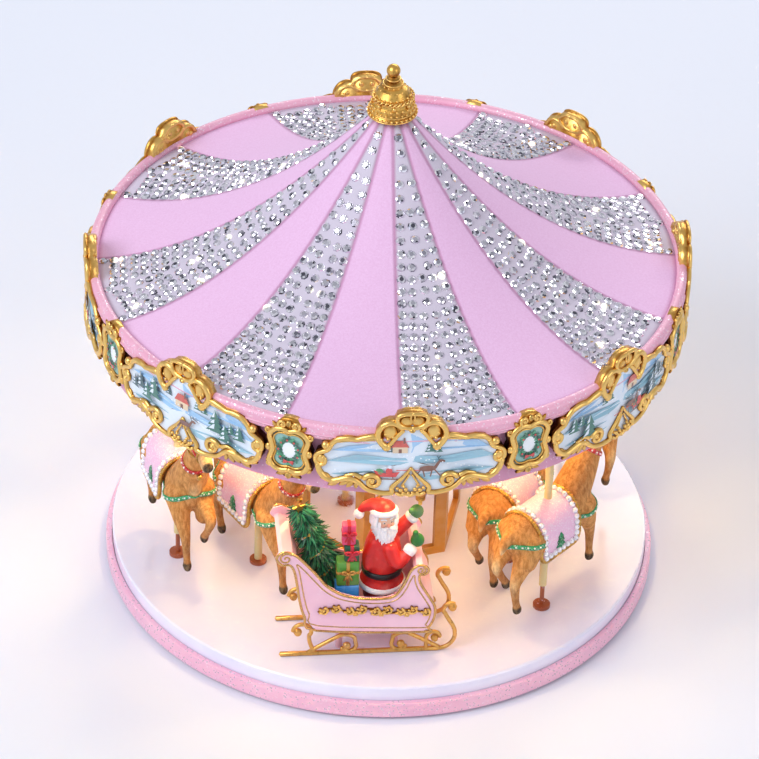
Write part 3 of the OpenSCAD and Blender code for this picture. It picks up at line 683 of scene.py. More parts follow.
stand = gem.add("FunctionNodeAlignRotationToVector", {"axis": "Z"}, {"Vector": normal})
turned = gem.vector(0.0, 0.0, gem.random(0.0, 6.28, gem.size("Seed") + 2))
turned = gem.add("FunctionNodeRotateRotation", {"rotation_space": "LOCAL"},
                 {0: stand, 1: turned})
placed = gem.add("GeometryNodeInstanceOnPoints", None, {
    "Points": cloud, "Instance": stone, "Rotation": turned, "Scale": gem.size("Stone")})
placed = gem.keep_value(placed, "tone", gem.random(0.0, 1.0, gem.size("Seed") + 3), "INSTANCE")


# Stores the values for the painted reflections: which faces are tables, and a random glint per facet.
def facet_light(real):
    seed = gem.size("Seed") + 4
    crown_part = gem.add("GeometryNodeInputNamedAttribute", {"data_type": "FLOAT"},
                         {"Name": "crown"})
    upright = gem.add("GeometryNodeInputNormal")
    square = gem.add("ShaderNodeVectorMath", {"operation": "DOT_PRODUCT"},
                     {0: upright, 1: gem.add("ShaderNodeVectorMath", {"operation": "NORMALIZE"},
                                             {0: normal})}, 1)
    real = gem.keep_value(real, "table", (square > 0.95) * crown_part, "FACE")
    return gem.keep_value(real, "glint", gem.random(0.0, 1.0, seed), "FACE")


rhinestones = plain(gem.grow(placed, "rhinestones", stones.material, facet_light),
                    "rhinestones", stones.material, False)
settle(rhinestones, "turntable", ["stone_strips"])
# %% [markdown]
# ## Gilt frames round the canopy
# Eight wide cartouches and eight small ones hide the canopy's edge. They are castings: a flat
# back plate with rolled mouldings, C-scrolls, balls and leaves on it. The scrollwork is laid
# out flat, with across, up and outward as its three directions, mirrored so both halves match,
# and then bent round the canopy. How far a point stands out decides its colour: the high
# places are rubbed bright and the recesses turn dark brown, partly a brown antique wash and
# partly painted shade.

# %% The antique gold finish
gilt = Finish("antique_gold", Metallic=1.0)
height_mark = gilt.stored("relief")
pits = gilt.noise(420, 4.0)
wash = gilt.noise(130, 3.0)
# Painted shade with real wear: the colour runs from dark brown in the recesses, partly painted shade, to
# rubbed-bright gold on the high places.
wear_and_recess_shade = gilt.ease(height_mark + (pits - 0.5) * 0.35 + (wash - 0.5) * 0.3, 0.12, 0.8)
gold_ramp = gilt.add("ShaderNodeValToRGB", {"stops": [
    (0.0, srgb(86, 44, 18)), (0.3, srgb(150, 92, 34)), (0.62, srgb(200, 142, 62)),
    (1.0, srgb(244, 200, 116))]}, {0: wear_and_recess_shade})
gilt_bump = gilt.bump(pits + wash * 0.6, 0.0003, 0.5)
gilt.feed(Base_Color=gold_ramp, Roughness=0.4 - wear_and_recess_shade * 0.14 + pits * 0.1, Normal=gilt_bump)
print("gold nodes:", len(gilt.tree.nodes))

# %% Bending a flat ornament round the canopy
FASCIA_R = 146.0
BEND_R = 150.0


def round_canopy(angle):
    turn = math.radians(angle)

    def way(p):
        a = turn + p[0] / BEND_R
        r = FASCIA_R + p[2]
        return (r * math.sin(a), -r * math.cos(a), p[1])
    return way


def mirrored(clay):
    both = Clay().join(clay)
    return both.join(clay, lambda p: (-p[0], p[1], p[2]))


# The depth value darkens the recesses of the gold: partly antique wash, partly painted shade.
def depth_marked(clay, low, high):
    clay.relief = [min(max((p[2] - low) / (high - low), 0.0), 1.0) for p in clay.points]
    return clay


def moulding(clay, path, size, out=4.9, steps=5, sides=8, ends=None):
    """A rolled moulding along (across, up) points; size may taper to the ends."""
    line = smooth_line([(x, z, 0) for x, z in path], steps)
    last = len(line) - 1
    widths = []
    for i in range(len(line)):
        t = i / last
        taper = 1.0 if ends is None else ends[0] * (1 - t) + ends[1] * t
        widths.append(size * taper)
    clay.add(*sweep([(p[0], p[1], out) for p in line], widths, sides, up=(0, 0, 1)))


def volute(clay, centre, size, start, turns, thick, out=5.0, bead=1.0):
    line = spiral(centre, size, size * 0.22, start, turns, 22)
    widths = [thick * (1 - 0.45 * i / 22) for i in range(23)]
    clay.add(*sweep([(x, z, out) for x, z, _ in line], widths, 8, up=(0, 0, 1)))
    clay.add(*pebble((centre[0], centre[1], out), (bead, bead, bead * 0.9), 6, 10))


def leaf(clay, root, tip, wide, out=4.6):
    rx, rz = root
    tx, tz = tip
    length = math.hypot(tx - rx, tz - rz)
    ux, uz = (tx - rx) / length, (tz - rz) / length
    shape = [(0, 0.12), (0.2, 0.75), (0.42, 1.0), (0.55, 0.82), (0.66, 0.88), (0.82, 0.5),
             (1.0, 0.0), (0.82, -0.5), (0.66, -0.88), (0.55, -0.82), (0.42, -1.0),
             (0.2, -0.75), (0, -0.12)]
    outline = [(rx + ux * length * a - uz * wide * b, rz + uz * length * a + ux * wide * b)
               for a, b in shape]
    clay.add(*plate(outline, out - 1.2, out + 0.55, 0.5))
    clay.add(*sweep([(rx, rz, out + 0.45), (tx, tz, out + 0.2)], [0.34, 0.12], 6))


# %% One wide cartouche: the right half of its castings
half = Clay()
moulding(half, [(14.5, 181.2), (18, 183.2), (22, 182.4), (26, 181.0), (30, 181.2), (34.5, 180.2),
                (38.2, 176.8)], 1.45)
moulding(half, [(16, 181.6), (22, 180.6), (30, 179.6), (35, 178.4)], 0.5, 4.9)
half.add(*pebble((40.7, 176.0, 5.0), 2.15, 8, 12))
moulding(half, [(37.8, 177), (39.6, 173.2), (42.2, 171.6), (45, 169.6), (45.6, 166.2), (43.8, 163.8),
                (41.3, 164.6), (40.8, 167), (42.2, 168.2)], 1.35, 5.0, ends=(1.0, 0.7))
half.add(*pebble((43.0, 167.0, 4.6), (2.6, 2.9, 1.3), 6, 12))
moulding(half, [(44.4, 164.0), (43.6, 160.2), (41, 156.8), (37.4, 155.2), (33.4, 156.4), (30, 157.6),
                (26.6, 157.0), (24.2, 155.2)], 1.55)
moulding(half, [(31.5, 158.8), (27, 160.0), (23.6, 158.6)], 1.3, 4.9, ends=(0.5, 1.0))
volute(half, (18.2, 156.4), 4.4, 20, 1.35, 1.45, 5.0, 1.3)
moulding(half, [(24.4, 155.4), (21, 152.0), (16.5, 150.2), (12.0, 149.6), (8.2, 150.0)], 1.3, 4.7)
moulding(half, [(0, 165.0), (1.6, 162.2), (4.0, 159.0), (6.6, 156.0), (8.8, 153.2), (8.4, 150.8)],
         1.1, 5.0, ends=(0.6, 1.2))
moulding(half, [(0.6, 161.0), (2.4, 157.6), (4.2, 154.2)], 0.55, 5.1)
moulding(half, [(0, 148.6), (2.4, 149.6), (4.6, 149.0), (6.8, 150.2)], 0.9, 5.3)
for x, z, size in ((2.2, 152.4, 1.1), (4.6, 152.0, 1.2), (6.2, 153.2, 0.9), (3.4, 150.6, 0.9),
                   (1.0, 150.4, 0.9), (3.2, 154.4, 0.8)):
    half.add(*pebble((x, z, 5.6), (size, size, 0.9), 5, 8))
for root, tip, wide in (((34, 155), (39.5, 151.8), 1.5), ((36, 156), (43.2, 155.4), 1.5),
                        ((38.4, 157.4), (44.6, 158.6), 1.3), ((27, 156), (30.6, 151.6), 1.4),
                        ((26, 155.4), (25.8, 151.2), 1.2), ((29, 156), (34.2, 152.6), 1.3)):
    leaf(half, root, tip, wide)

# %% The crest: a scooped shell between two curling lobes
moulding(half, [(4.6, 188.2), (7.2, 190.6), (10.4, 191.4), (13.6, 190.0), (15.8, 186.6), (16.0, 182.8),
                (14.2, 179.4), (12.2, 177.6)], 1.6, 4.9, ends=(0.8, 1.1))
moulding(half, [(4.2, 187.2), (6.6, 184.4), (8.8, 181.2), (10.6, 178.6)], 1.1, 4.9)
half.add(*pebble((12.0, 177.4, 5.1), (2.3, 2.3, 1.5), 6, 12))
half.add(*pebble((10.4, 185.6, 4.2), (3.6, 4.6, 1.3), 6, 14))
for x, z in ((9.0, 183.2), (11.4, 182.0), (12.6, 184.8)):
    half.add(*pebble((x, z, 5.0), (0.9, 0.9, 0.6), 5, 8))
moulding(half, [(0, 188.4), (3.4, 188.8), (6.2, 190.6), (7.3, 193.2), (6.4, 195.6), (3.6, 196.6),
                (0, 196.8)], 1.15, 4.9)
moulding(half, [(0.9, 196.4), (0.9, 193.2)], 0.45, 5.6)
half.add(*pebble((2.6, 192.0, 4.4), (3.4, 3.0, 0.9), 6, 12))
half.add(*pebble((0, 187.2, 5.2), (1.6, 1.2, 1.2), 6, 10))
for path in ([(4.6, 188.2), (7.2, 190.6), (10.4, 191.4), (13.6, 190.0), (15.8, 186.6)],
             [(0, 188.4), (3.4, 188.8), (6.2, 190.6), (7.3, 193.2), (3.6, 196.4), (0, 196.6)],
             [(16, 183.2), (22, 182.6), (28, 181.6), (34, 180.6)]):
    moulding(half, path, 0.9, 0.4)
for x, z in ((10.6, 187.4), (3.0, 192.6), (12.8, 186.2)):
    half.add(*pebble((x, z, 0.3), (1.5, 1.6, 1.0), 5, 10))
LARGE_EDGE = [(0, 197.4), (3.6, 197.2), (7.2, 195.8), (8.2, 192.6), (11, 192.4), (14.8, 190.4),
              (17.2, 186.2), (17.2, 184.4), (22, 183.8), (26, 182.4), (31, 182.6), (35.8, 181.2),
              (38.8, 178.4), (41, 178.2), (42.8, 176.2), (42.4, 173.2), (45.6, 171), (46.8, 166.8),
              (45.8, 163), (44.8, 159.6), (41.8, 155.8), (37.4, 153.8), (33, 154.6), (30, 155.8),
              (26.8, 155), (22.4, 151.2), (17, 148.8), (11, 148.0), (7, 148.8), (3, 147.6), (0, 147.2)]


def whole_outline(right_side):
    left_side = [(-x, z) for x, z in reversed(right_side) if x > 0.01]
    return right_side + left_side


cartouche = mirrored(half)
edge_plate = Clay().add(*plate(whole_outline(LARGE_EDGE), 0.1, 4.15, 0.5, (0, 169)))
cartouche.join(edge_plate)
depth_marked(cartouche, 3.2, 6.2)
# Where the plate rises above the rim, its depth value is raised, so less painted shade falls on it.
for k, (x, z, out) in enumerate(cartouche.points):
    if z > 182 and out < 4.2:
        cartouche.relief[k] = 0.8 if out < 3.4 else 0.5
print("one cartouche:", len(cartouche.faces), "faces")

# %% One small frame round a wreath
half = Clay()
moulding(half, [(0, 179.4), (3.6, 180.4), (7.4, 179.0), (9.6, 175.4), (8.8, 171.4), (8.0, 168),
                (8.8, 164.6), (9.6, 161.0), (7.6, 157.4), (4.0, 156.0), (0, 156.8)], 1.5, 4.6)
moulding(half, [(0, 177.4), (3.4, 178.0), (6.2, 176.8), (7.6, 174.2), (6.8, 170.8), (6.3, 168),
                (6.8, 165), (7.6, 162), (6.2, 159.4), (3.4, 158.2), (0, 158.8)], 0.5, 4.6)
volute(half, (3.3, 183.0), 2.3, -60, 1.2, 0.95, 4.8, 0.8)
volute(half, (10.4, 178.0), 1.9, 200, 1.1, 0.85, 4.6, 0.7)
volute(half, (10.2, 158.4), 1.9, 60, 1.1, 0.85, 4.6, 0.7)
half.add(*pebble((10.2, 168, 4.7), (1.7, 2.2, 1.3), 6, 10))
half.add(*pebble((0, 184.2, 4.9), (1.5, 1.9, 1.2), 6, 10))
half.add(*pebble((0, 153.6, 4.7), (1.8, 2.2, 1.2), 6, 10))
leaf(half, (1.0, 155.0), (6.4, 152.6), 1.3, 4.3)
leaf(half, (6.0, 180.4), (8.6, 183.4), 1.1, 4.3)
SMALL_EDGE = [(0, 186.6), (3.2, 186.2), (6, 184.2), (7.8, 181.4), (10.6, 180.4), (12.2, 177.6),
              (11.2, 174.2), (10.4, 171.2), (11.9, 168), (10.4, 164.8), (11.2, 161.8),
              (12.0, 158.2), (10.2, 156.2), (7, 155), (4.4, 152.6), (1.8, 151.4), (0, 151.2)]
wreath_frame = mirrored(half)
wreath_frame.join(Clay().add(*plate(whole_outline(SMALL_EDGE), 0.1, 4.1, 0.5, (0, 168))))
depth_marked(wreath_frame, 3.2, 6.0)
# Where the plate rises above the rim, its depth value is raised, so less painted shade falls on it.
for k, (x, z, out) in enumerate(wreath_frame.points):
    if z > 178 and out < 4.2:
        wreath_frame.relief[k] = 0.8 if out < 3.4 else 0.5

# %% Bend all sixteen round the canopy
large_ring = Clay()
small_ring = Clay()
for i in range(8):
    large_ring.join(cartouche, round_canopy(45 * i))
    small_ring.join(wreath_frame, round_canopy(22.5 + 45 * i))
large_ring.fire("cartouches", "turntable", gilt.material, replaces=["large_frames"], slot="gilt")
small_ring.fire("wreath_frames", "turntable", gilt.material, replaces=["small_frames"],
                slot="gilt")

# %% [markdown]
# ## Painted panels
# Inside the cartouches are small winter paintings, printed flat and varnished. They are built
# as thin layers of coloured outlines, like paper cuts stuck on a pale ground, so the edges
# stay crisp at any distance. The scenes are invented: hills, firs, a cottage, a sleigh and a
# deer, laid out in three ways so that neighbours differ. The small frames hold wreaths.

# %% The varnished paint finish
varnish = Finish("varnished_paint", Roughness=0.32, Coat_Weight=0.35, Coat_Roughness=0.15)
pigment = varnish.stored("paint", "Color")
brush = varnish.noise(520, 4.0, varnish.spot((1, 1, 0.4)))
mottle = varnish.noise(150, 3.0)
brushed = varnish.mix(brush * 0.12, pigment, srgb(236, 244, 250))
brushed = varnish.mix(varnish.ease(mottle, 0.5, 0.8) * 0.12, brushed, srgb(150, 180, 206))
varnish.feed(Base_Color=brushed, Normal=varnish.bump(brush, 0.00008, 0.5))

# %% Little cut shapes for the paintings
SNOW = srgb(226, 236, 246)[:3]
SNOW_SHADE = srgb(150, 196, 214)[:3]
SKY = srgb(158, 200, 236)[:3]
PINE = srgb(20, 104, 84)[:3]
PINE_DARK = srgb(26, 74, 78)[:3]
ROOF_RED = srgb(206, 76, 54)[:3]
WALL = srgb(232, 204, 168)[:3]
BROWN = srgb(124, 70, 42)[:3]
RED = srgb(214, 50, 40)[:3]
LEAF = srgb(70, 150, 90)[:3]


class Painting:
    def __init__(self, ground):
        self.clay = Clay()
        self.level = ground

    def cut(self, outline, colour):
        self.level += 0.02
        self.clay.add(*plate(outline, self.level - 0.1, self.level, 0.0), paint=colour)
        return self

    def oval(self, x, z, wide, high, colour, tilt=0.0):
        points = []
        for k in range(12):
            a = math.tau * k / 12
            dx, dz = wide * math.cos(a), high * math.sin(a)
            points.append((x + dx * math.cos(tilt) - dz * math.sin(tilt),
                           z + dx * math.sin(tilt) + dz * math.cos(tilt)))
        return self.cut(points, colour)

    def fir(self, x, z, size, colour):
        for k in range(3):
            w = size * (0.42 - 0.1 * k)
            low = z + size * 0.28 * k
            self.cut([(x - w, low), (x + w, low), (x, low + size * 0.48)], colour)
            self.cut([(x - w * 0.7, low + size * 0.1), (x - w * 0.1, low + size * 0.14),
                      (x, low + size * 0.46)], SNOW)
        return self

    def line(self, a, b, wide, colour):
        dx, dz = b[0] - a[0], b[1] - a[1]
        length = math.hypot(dx, dz)
        nx, nz = -dz / length * wide / 2, dx / length * wide / 2
        return self.cut([(a[0] + nx, a[1] + nz), (b[0] + nx, b[1] + nz),
                         (b[0] - nx, b[1] - nz), (a[0] - nx, a[1] - nz)], colour)

    def cottage(self, x, z, size):
        self.cut([(x, z), (x + size, z), (x + size, z + size * 0.5), (x, z + size * 0.5)], WALL)
        self.cut([(x - size * 0.1, z + size * 0.45), (x + size * 1.1, z + size * 0.45),
                  (x + size * 0.8, z + size), (x + size * 0.2, z + size)], ROOF_RED)
        self.cut([(x + size * 0.4, z), (x + size * 0.6, z), (x + size * 0.6, z + size * 0.32),
                  (x + size * 0.4, z + size * 0.32)], BROWN)
        return self.cut([(x + size * 0.7, z + size * 0.8), (x + size * 0.82, z + size * 0.8),
                         (x + size * 0.82, z + size * 1.25), (x + size * 0.7, z + size * 1.25)],
                        BROWN)

    def sleigh(self, x, z, k):
        self.oval(x + 1.5 * k, z + 4.6 * k, 1.5 * k, 1.7 * k, RED)
        self.oval(x + 1.8 * k, z + 6.9 * k, 0.9 * k, 0.9 * k, SNOW)
        self.oval(x - 2.6 * k, z + 4.4 * k, 1.8 * k, 1.6 * k, LEAF)
        self.cut([(x - 5 * k, z + 5 * k), (x - 3.4 * k, z + 1.6 * k), (x + 4.4 * k, z + 1.6 * k),
                  (x + 6 * k, z + 4.4 * k), (x + 3 * k, z + 3.6 * k), (x - 2 * k, z + 3.4 * k)], RED)
        self.line((x - 5 * k, z + 0.4 * k), (x + 6 * k, z + 0.4 * k), 0.5 * k, BROWN)
        self.line((x - 2.6 * k, z + 1.6 * k), (x - 3 * k, z + 0.4 * k), 0.4 * k, BROWN)
        return self.line((x + 3 * k, z + 1.6 * k), (x + 3.4 * k, z + 0.4 * k), 0.4 * k, BROWN)

    def deer(self, x, z, k):
        self.oval(x, z + 4.6 * k, 3.6 * k, 1.5 * k, BROWN)
        self.cut([(x + 2 * k, z + 4.6 * k), (x + 3.6 * k, z + 4.4 * k), (x + 5.4 * k, z + 8 * k),
                  (x + 4.2 * k, z + 8.2 * k)], BROWN)
        self.oval(x + 5.8 * k, z + 8.2 * k, 1.5 * k, 0.7 * k, BROWN, -0.3)
        for ax, bx in ((-3, -5.2), (-2, -1.2), (1.8, 1.2), (2.8, 5.4)):
            self.line((x + ax * k, z + 4 * k), (x + bx * k, z + 0.4 * k), 0.55 * k, BROWN)
        self.line((x + 4.8 * k, z + 8.6 * k), (x + 3.6 * k, z + 11 * k), 0.35 * k, PINE_DARK)
        return self.line((x + 4.2 * k, z + 9.8 * k), (x + 5.4 * k, z + 11 * k), 0.35 * k, PINE_DARK)


# %% Three winter scenes
WINDOW_EDGE = [(0, 190), (3, 188.6), (7, 185), (10, 181.4), (13.5, 181.4), (18, 182.6), (24, 181.2),
               (30, 180.6), (35, 179.0), (38.4, 175.6), (41, 171), (43, 166), (43, 161.5),
               (40, 157.4), (35.5, 156.2), (31, 157.2), (27, 157), (23, 155), (18, 151.4),
               (12, 150.2), (0, 150)]


def winter_scene(kind):
    art = Painting(4.3)
    art.clay.add(*plate(whole_outline(WINDOW_EDGE), 3.6, 4.3, 0.1, (0, 168)), paint=SNOW)
    flip = -1 if kind == 2 else 1
    art.cut([(-30, 176), (-12, 179.5), (0, 184.6), (6, 181), (16, 179.6), (32, 178), (38, 173),
             (20, 174.4), (0, 173.4), (-22, 173.6), (-38, 172.6)], SKY)
    art.cut([(-40, 166), (-26, 171.4), (-10, 169), (4, 171.6), (20, 169.4), (34, 171.6), (41, 167),
             (20, 166.4), (-10, 166)], SNOW_SHADE if kind != 1 else SKY)
    art.cut([(-38, 158.6), (-20, 162.4), (4, 160.6), (28, 162.6), (41, 160), (30, 158.4), (10, 156.8),
             (-16, 157.6)], SNOW_SHADE)
    for x, z, size in ((9, 173.6, 6.4), (13, 173.2, 5.2), (-9.5, 174, 5.6), (-31, 166.4, 9),
                       (-35.4, 164.6, 7), (33, 165.6, 8.4), (28.6, 168, 6)):
        if kind != 0 or abs(x) < 20:
            art.fir(x * flip, z, size, PINE if x > 0 else PINE_DARK)
    if kind == 1:
        for x, z, size in ((-20, 167, 12), (-25, 163.4, 10), (20, 166, 12.6), (25.6, 162.6, 10)):
            art.fir(x, z, size, PINE)
        art.cottage(-4, 171, 8)
        art.deer(2, 158.6, 0.95)
    else:
        art.cottage(-6 * flip - 3, 173.6, 7.2)
        art.sleigh(-12 * flip, 157.6, 1.12)
        art.deer(8 * flip if flip > 0 else 6, 158.8, 1.15)
        art.line((-7, 163.6), (4, 163.4), 0.35, RED)
        if kind == 2:
            art.fir(-24, 159.6, 13, PINE)
            art.fir(25, 160.6, 12, PINE_DARK)
    for k in range(26):
        x = -36 + 72 * ((k * 0.618) % 1)
        z = 158 + 20 * ((k * 0.381 + 0.2) % 1)
        art.oval(x, z, 0.35, 0.35, (0.95, 0.97, 1.0))
    return art.clay


scenes = [winter_scene(kind) for kind in range(3)]
panels = Clay()
for i in range(8):
    panels.join(scenes[(0, 2, 1, 0, 2, 1, 2, 1)[i]], round_canopy(45 * i))
panels.fire("winter_panels", "turntable", varnish.material, smooth=False,
            replaces=["large_pictures"], slot="picture")

# %% Wreaths
wreath = Painting(4.25)
ground = [(0, 178.6), (4, 179.2), (7.4, 177.6), (8.6, 174), (7.8, 170), (7.8, 166), (8.6, 162),
          (7.4, 158.6), (4, 157), (0, 157.4)]
wreath.clay.add(*plate(whole_outline(ground), 3.6, 4.25, 0.1, (0, 168)),
                paint=srgb(140, 190, 176)[:3])
wreath.oval(0, 168, 3.4, 4.6, (0.92, 0.94, 0.95))
for ring in range(3):
    for k in range(16):
        a = math.tau * (k + ring * 0.5) / 16
        x = (3.9 + ring * 0.95) * math.cos(a)
        z = 168 + (5.4 + ring * 1.05) * math.sin(a)
        colour = (srgb(34, 112, 76)[:3], srgb(70, 160, 110)[:3], srgb(24, 84, 66)[:3])[(k + ring) % 3]
        wreath.oval(x, z, 1.15, 0.55, colour, a * 1.7 + ring)
for k in range(9):
    a = math.tau * k / 9 + 0.3
    wreath.oval(5 * math.cos(a), 168 + 6.5 * math.sin(a), 0.55, 0.55, RED)
wreath.cut([(-2.6, 160.6), (0, 161.8), (2.6, 160.6), (2.2, 163), (0, 162.2), (-2.2, 163)], RED)
wreaths = Clay()
for i in range(8):
    wreaths.join(wreath.clay, round_canopy(22.5 + 45 * i))
wreaths.fire("wreath_panels", "turntable", varnish.material, smooth=False,
             replaces=["small_pictures"], slot="wreath")
# %% [markdown]
# ## The reindeer
# Ten cast resin reindeer trot round the deck. A good animal starts as a handful of overlapping
# forms: barrel, chest, rump, neck, skull and tapering legs. Voxel remeshing melts them into one
# skin, a few rounds of smoothing take away the steps, and the coat is painted on the points by
# their place: pale belly and ruff, dark legs, black hooves. One animal is made and then copied
# to its ten poles, because castings from one mould are alike.

# %% Melt overlapping clay into one skin
def melt(clay, voxel, rounds, bore=0.0):
    mesh = bpy.data.meshes.new("melting")
    mesh.from_pydata([tuple(v * MM for v in p) for p in clay.points], [], clay.faces)
    rough = bpy.data.objects.new("melting", mesh)
    bpy.context.collection.objects.link(rough)
    remesh = rough.modifiers.new("melt", "REMESH")
    remesh.mode = "VOXEL"
    remesh.voxel_size = voxel * MM
    calm = rough.modifiers.new("calm", "SMOOTH")
    calm.factor = 0.5
    calm.iterations = rounds
    tube = None
    if bore:
        tube_mesh = bpy.data.meshes.new("bore")
        rod_points, rod_faces = turning([(0, 0), (bore, 0), (bore, 90), (0, 90)], 20)
        tube_mesh.from_pydata([tuple(v * MM for v in p) for p in rod_points], [], rod_faces)
        tube = bpy.data.objects.new("bore", tube_mesh)
        bpy.context.collection.objects.link(tube)
        cut = rough.modifiers.new("pole_hole", "BOOLEAN")
        cut.object = tube
        cut.solver = "EXACT"
    graph = bpy.context.evaluated_depsgraph_get()
    done = bpy.data.meshes.new_from_object(rough.evaluated_get(graph))
    bpy.data.objects.remove(rough)
    if tube:
        bpy.data.objects.remove(tube)
    points = [tuple(c / MM for c in v.co) for v in done.vertices]
    faces = [tuple(f.vertices) for f in done.polygons]
    return points, faces


def limb(clay, *knots, sides=12, **more):
    """A tapering limb through (point, radius) knots, rounded at both ends."""
    line = smooth_line([k[0] for k in knots], 5)
    sizes = smooth_line([(k[1], 0, 0) for k in knots], 5)
    clay.add(*sweep(line, [s[0] for s in sizes], sides), **more)
    clay.add(*pebble(knots[0][0], knots[0][1] * 1.02, 6, sides), **more)
    clay.add(*pebble(knots[-1][0], knots[-1][1] * 1.02, 6, sides), **more)


# %% Shape one reindeer, its pole at the origin, trotting towards +X
deer = Clay()
deer.add(*pebble((0, 0, 43.2), (23, 11.0, 11.6), 12, 20))
deer.add(*pebble((16.5, 0, 43.6), (13.5, 11.2, 13.2), 12, 20))
deer.add(*pebble((-17.5, 0, 44.6), (14, 11.2, 12.2), 12, 20))
deer.add(*pebble((27.5, 0, 55), (6.8, 5.2, 10.5), 8, 12))
limb(deer, ((18, 0, 49), 10.2), ((26.5, 0, 62), 8.3), ((32.5, 0, 73), 6.2), ((36.8, 0, 84), 5.2),
     sides=16)
deer.add(*pebble((38.3, 0, 87.2), (6.6, 5.0, 5.4), 8, 14))
limb(deer, ((40, 0, 86.2), 4.6), ((46, 0, 83), 3.7), ((51.6, 0, 80.6), 3.3), sides=14)
deer.add(*pebble((43.5, 0, 81.6), (5.2, 2.9, 2.6), 6, 10))
for side in (-1, 1):
    limb(deer, ((21, side * 6.2, 43), 7.4), ((25.5, side * 6.0, 33), 5.0),
         ((26.5, side * 5.8, 30), 4.4))
    limb(deer, ((-19, side * 5.8, 43), 8.6), ((-24, side * 6.4, 34), 6.6))
    limb(deer, ((35.4, side * 4.2, 90.6), 1.4), ((33.6, side * 7.0, 92.6), 2.1),
         ((31.0, side * 10.0, 93.6), 0.8), sides=8)
limb(deer, ((26, -5.8, 32), 4.7), ((29.8, -5.0, 22), 2.9), ((30.7, -4.7, 14), 2.2),
     ((31.3, -4.5, 7), 2.0), ((31.8, -4.5, 4.2), 2.5))
limb(deer, ((25, 6, 38), 5.4), ((33, 6.1, 37.2), 3.8), ((38.3, 6, 34.8), 3.0),
     ((35.2, 5.5, 27), 2.1), ((31.6, 5.1, 21.4), 2.1), ((30.6, 5, 19.6), 2.4))
limb(deer, ((-23, -6.2, 36), 6.6), ((-28.6, -6, 26), 3.9), ((-30.6, -5.9, 21), 2.9),
     ((-29.4, -5.7, 12), 2.1), ((-28, -5.5, 6.6), 2.1), ((-27.4, -5.5, 4.2), 2.5))
limb(deer, ((-23, 6.2, 37), 6.6), ((-29.4, 5.6, 30), 3.8), ((-31.6, 5.3, 26.2), 2.8),
     ((-28.4, 5, 20), 2.1), ((-25.6, 4.7, 15.4), 2.1), ((-24.8, 4.6, 13.6), 2.4))
limb(deer, ((-29, 0, 49), 3.2), ((-33, 0, 46.5), 2.9), ((-35.4, 0, 41), 1.2), sides=8)
DEER_HOOVES = [(31.9, -4.5, 1.9, 0), (30.0, 5.0, 16.9, 25), (-27.2, -5.5, 1.9, 0),
               (-24.2, 4.6, 11.2, 25)]
for x, y, z, tip in DEER_HOOVES:
    deer.add(*pebble((x, y, z + 1.2), (2.9, 2.3, 2.6), 6, 10))
deer_points, deer_faces = melt(deer, 0.85, 5, bore=1.75)
print("melted reindeer:", len(deer_faces), "faces")

# %% Paint the coat on the points
COAT = np.array(srgb(214, 146, 70)[:3])
COAT_DARK = np.array(srgb(150, 88, 38)[:3])
COAT_PALE = np.array(srgb(238, 206, 150)[:3])
HORN_DARK = np.array(srgb(44, 28, 20)[:3])


def step(low, high, value):
    t = min(max((value - low) / (high - low), 0.0), 1.0)
    return t * t * (3 - 2 * t)


def coat_at(p):
    x, y, z = p
    back_line = step(50, 56, z) * step(30, 18, x) * step(-38, -30, x)
    colour = COAT * (1 - 0.35 * back_line) + COAT_DARK * 0.35 * back_line
    pale = step(36, 31, z) * step(5.5, 2, abs(y)) * step(24, 16, abs(x))
    ruff = step(30, 34, x - (z - 50) * 0.35) * step(74, 60, z) * step(40, 48, z)
    muzzle_pale = step(43, 48, x) * step(76, 80, z)
    pale = max(pale, ruff * 0.75, muzzle_pale * 0.6, step(46, 40, z) * step(-31, -34, x))
    colour = colour * (1 - pale) + COAT_PALE * pale
    leg = step(30, 14, z) if x < 26 or y < 0 else step(33, 24, z)
    colour = colour * (1 - 0.45 * leg) + COAT_DARK * 0.45 * leg
    for hx, hy, hz, tip in DEER_HOOVES:
        near = step(4.6, 3.6, math.dist((x, y, z), (hx, hy, hz + 0.4)))
        colour = colour * (1 - near) + HORN_DARK * near
    nose = step(3.6, 2.8, math.dist((x, y, z), (54.4, 0, 81.2)))
    return tuple(colour * (1 - nose) + HORN_DARK * nose)


deer_paint = [coat_at(p) for p in deer_points]
deer_tree = BVHTree.FromPolygons([Vector(p) for p in deer_points], deer_faces)
print("painted points:", len(deer_paint))

# %% Antlers, eyes and nostrils
antlers = Clay()
HORN = srgb(196, 160, 104)[:3]
for side in (-1, 1):
    tines = [
        [((36.4, side * 2.6, 90), 1.5), ((34.0, side * 5.4, 97), 1.25), ((34.4, side * 8.2, 104), 1.05),
         ((37.4, side * 9.0, 111.2), 0.5)],
        [((34.2, side * 6.6, 100), 1.0), ((30.6, side * 8.6, 104), 0.85), ((28.4, side * 9.2, 108.4), 0.45)],
        [((35.6, side * 3.6, 93), 1.0), ((39.4, side * 4.6, 95.2), 0.8), ((42.4, side * 4.4, 98.8), 0.4)],
        [((34.8, side * 8.4, 105.2), 0.8), ((32.6, side * 9.8, 108.6), 0.65),
         ((32.4, side * 10.2, 111.4), 0.35)]]
    for tine in tines:
        limb(antlers, *tine, sides=7, paint=HORN)
    antlers.add(*pebble((40.6, side * 4.3, 88.2), (1.25, 0.9, 1.25), 6, 8), paint=srgb(18, 10, 8)[:3])
    # Painted highlight: a small white dot on each eye.
    antlers.add(*pebble((41.1, side * 5.0, 88.7), 0.35, 4, 6), paint=(1, 1, 1))
    antlers.add(*pebble((54.6, side * 1.1, 81.6), 0.5, 4, 6), paint=srgb(20, 12, 10)[:3])

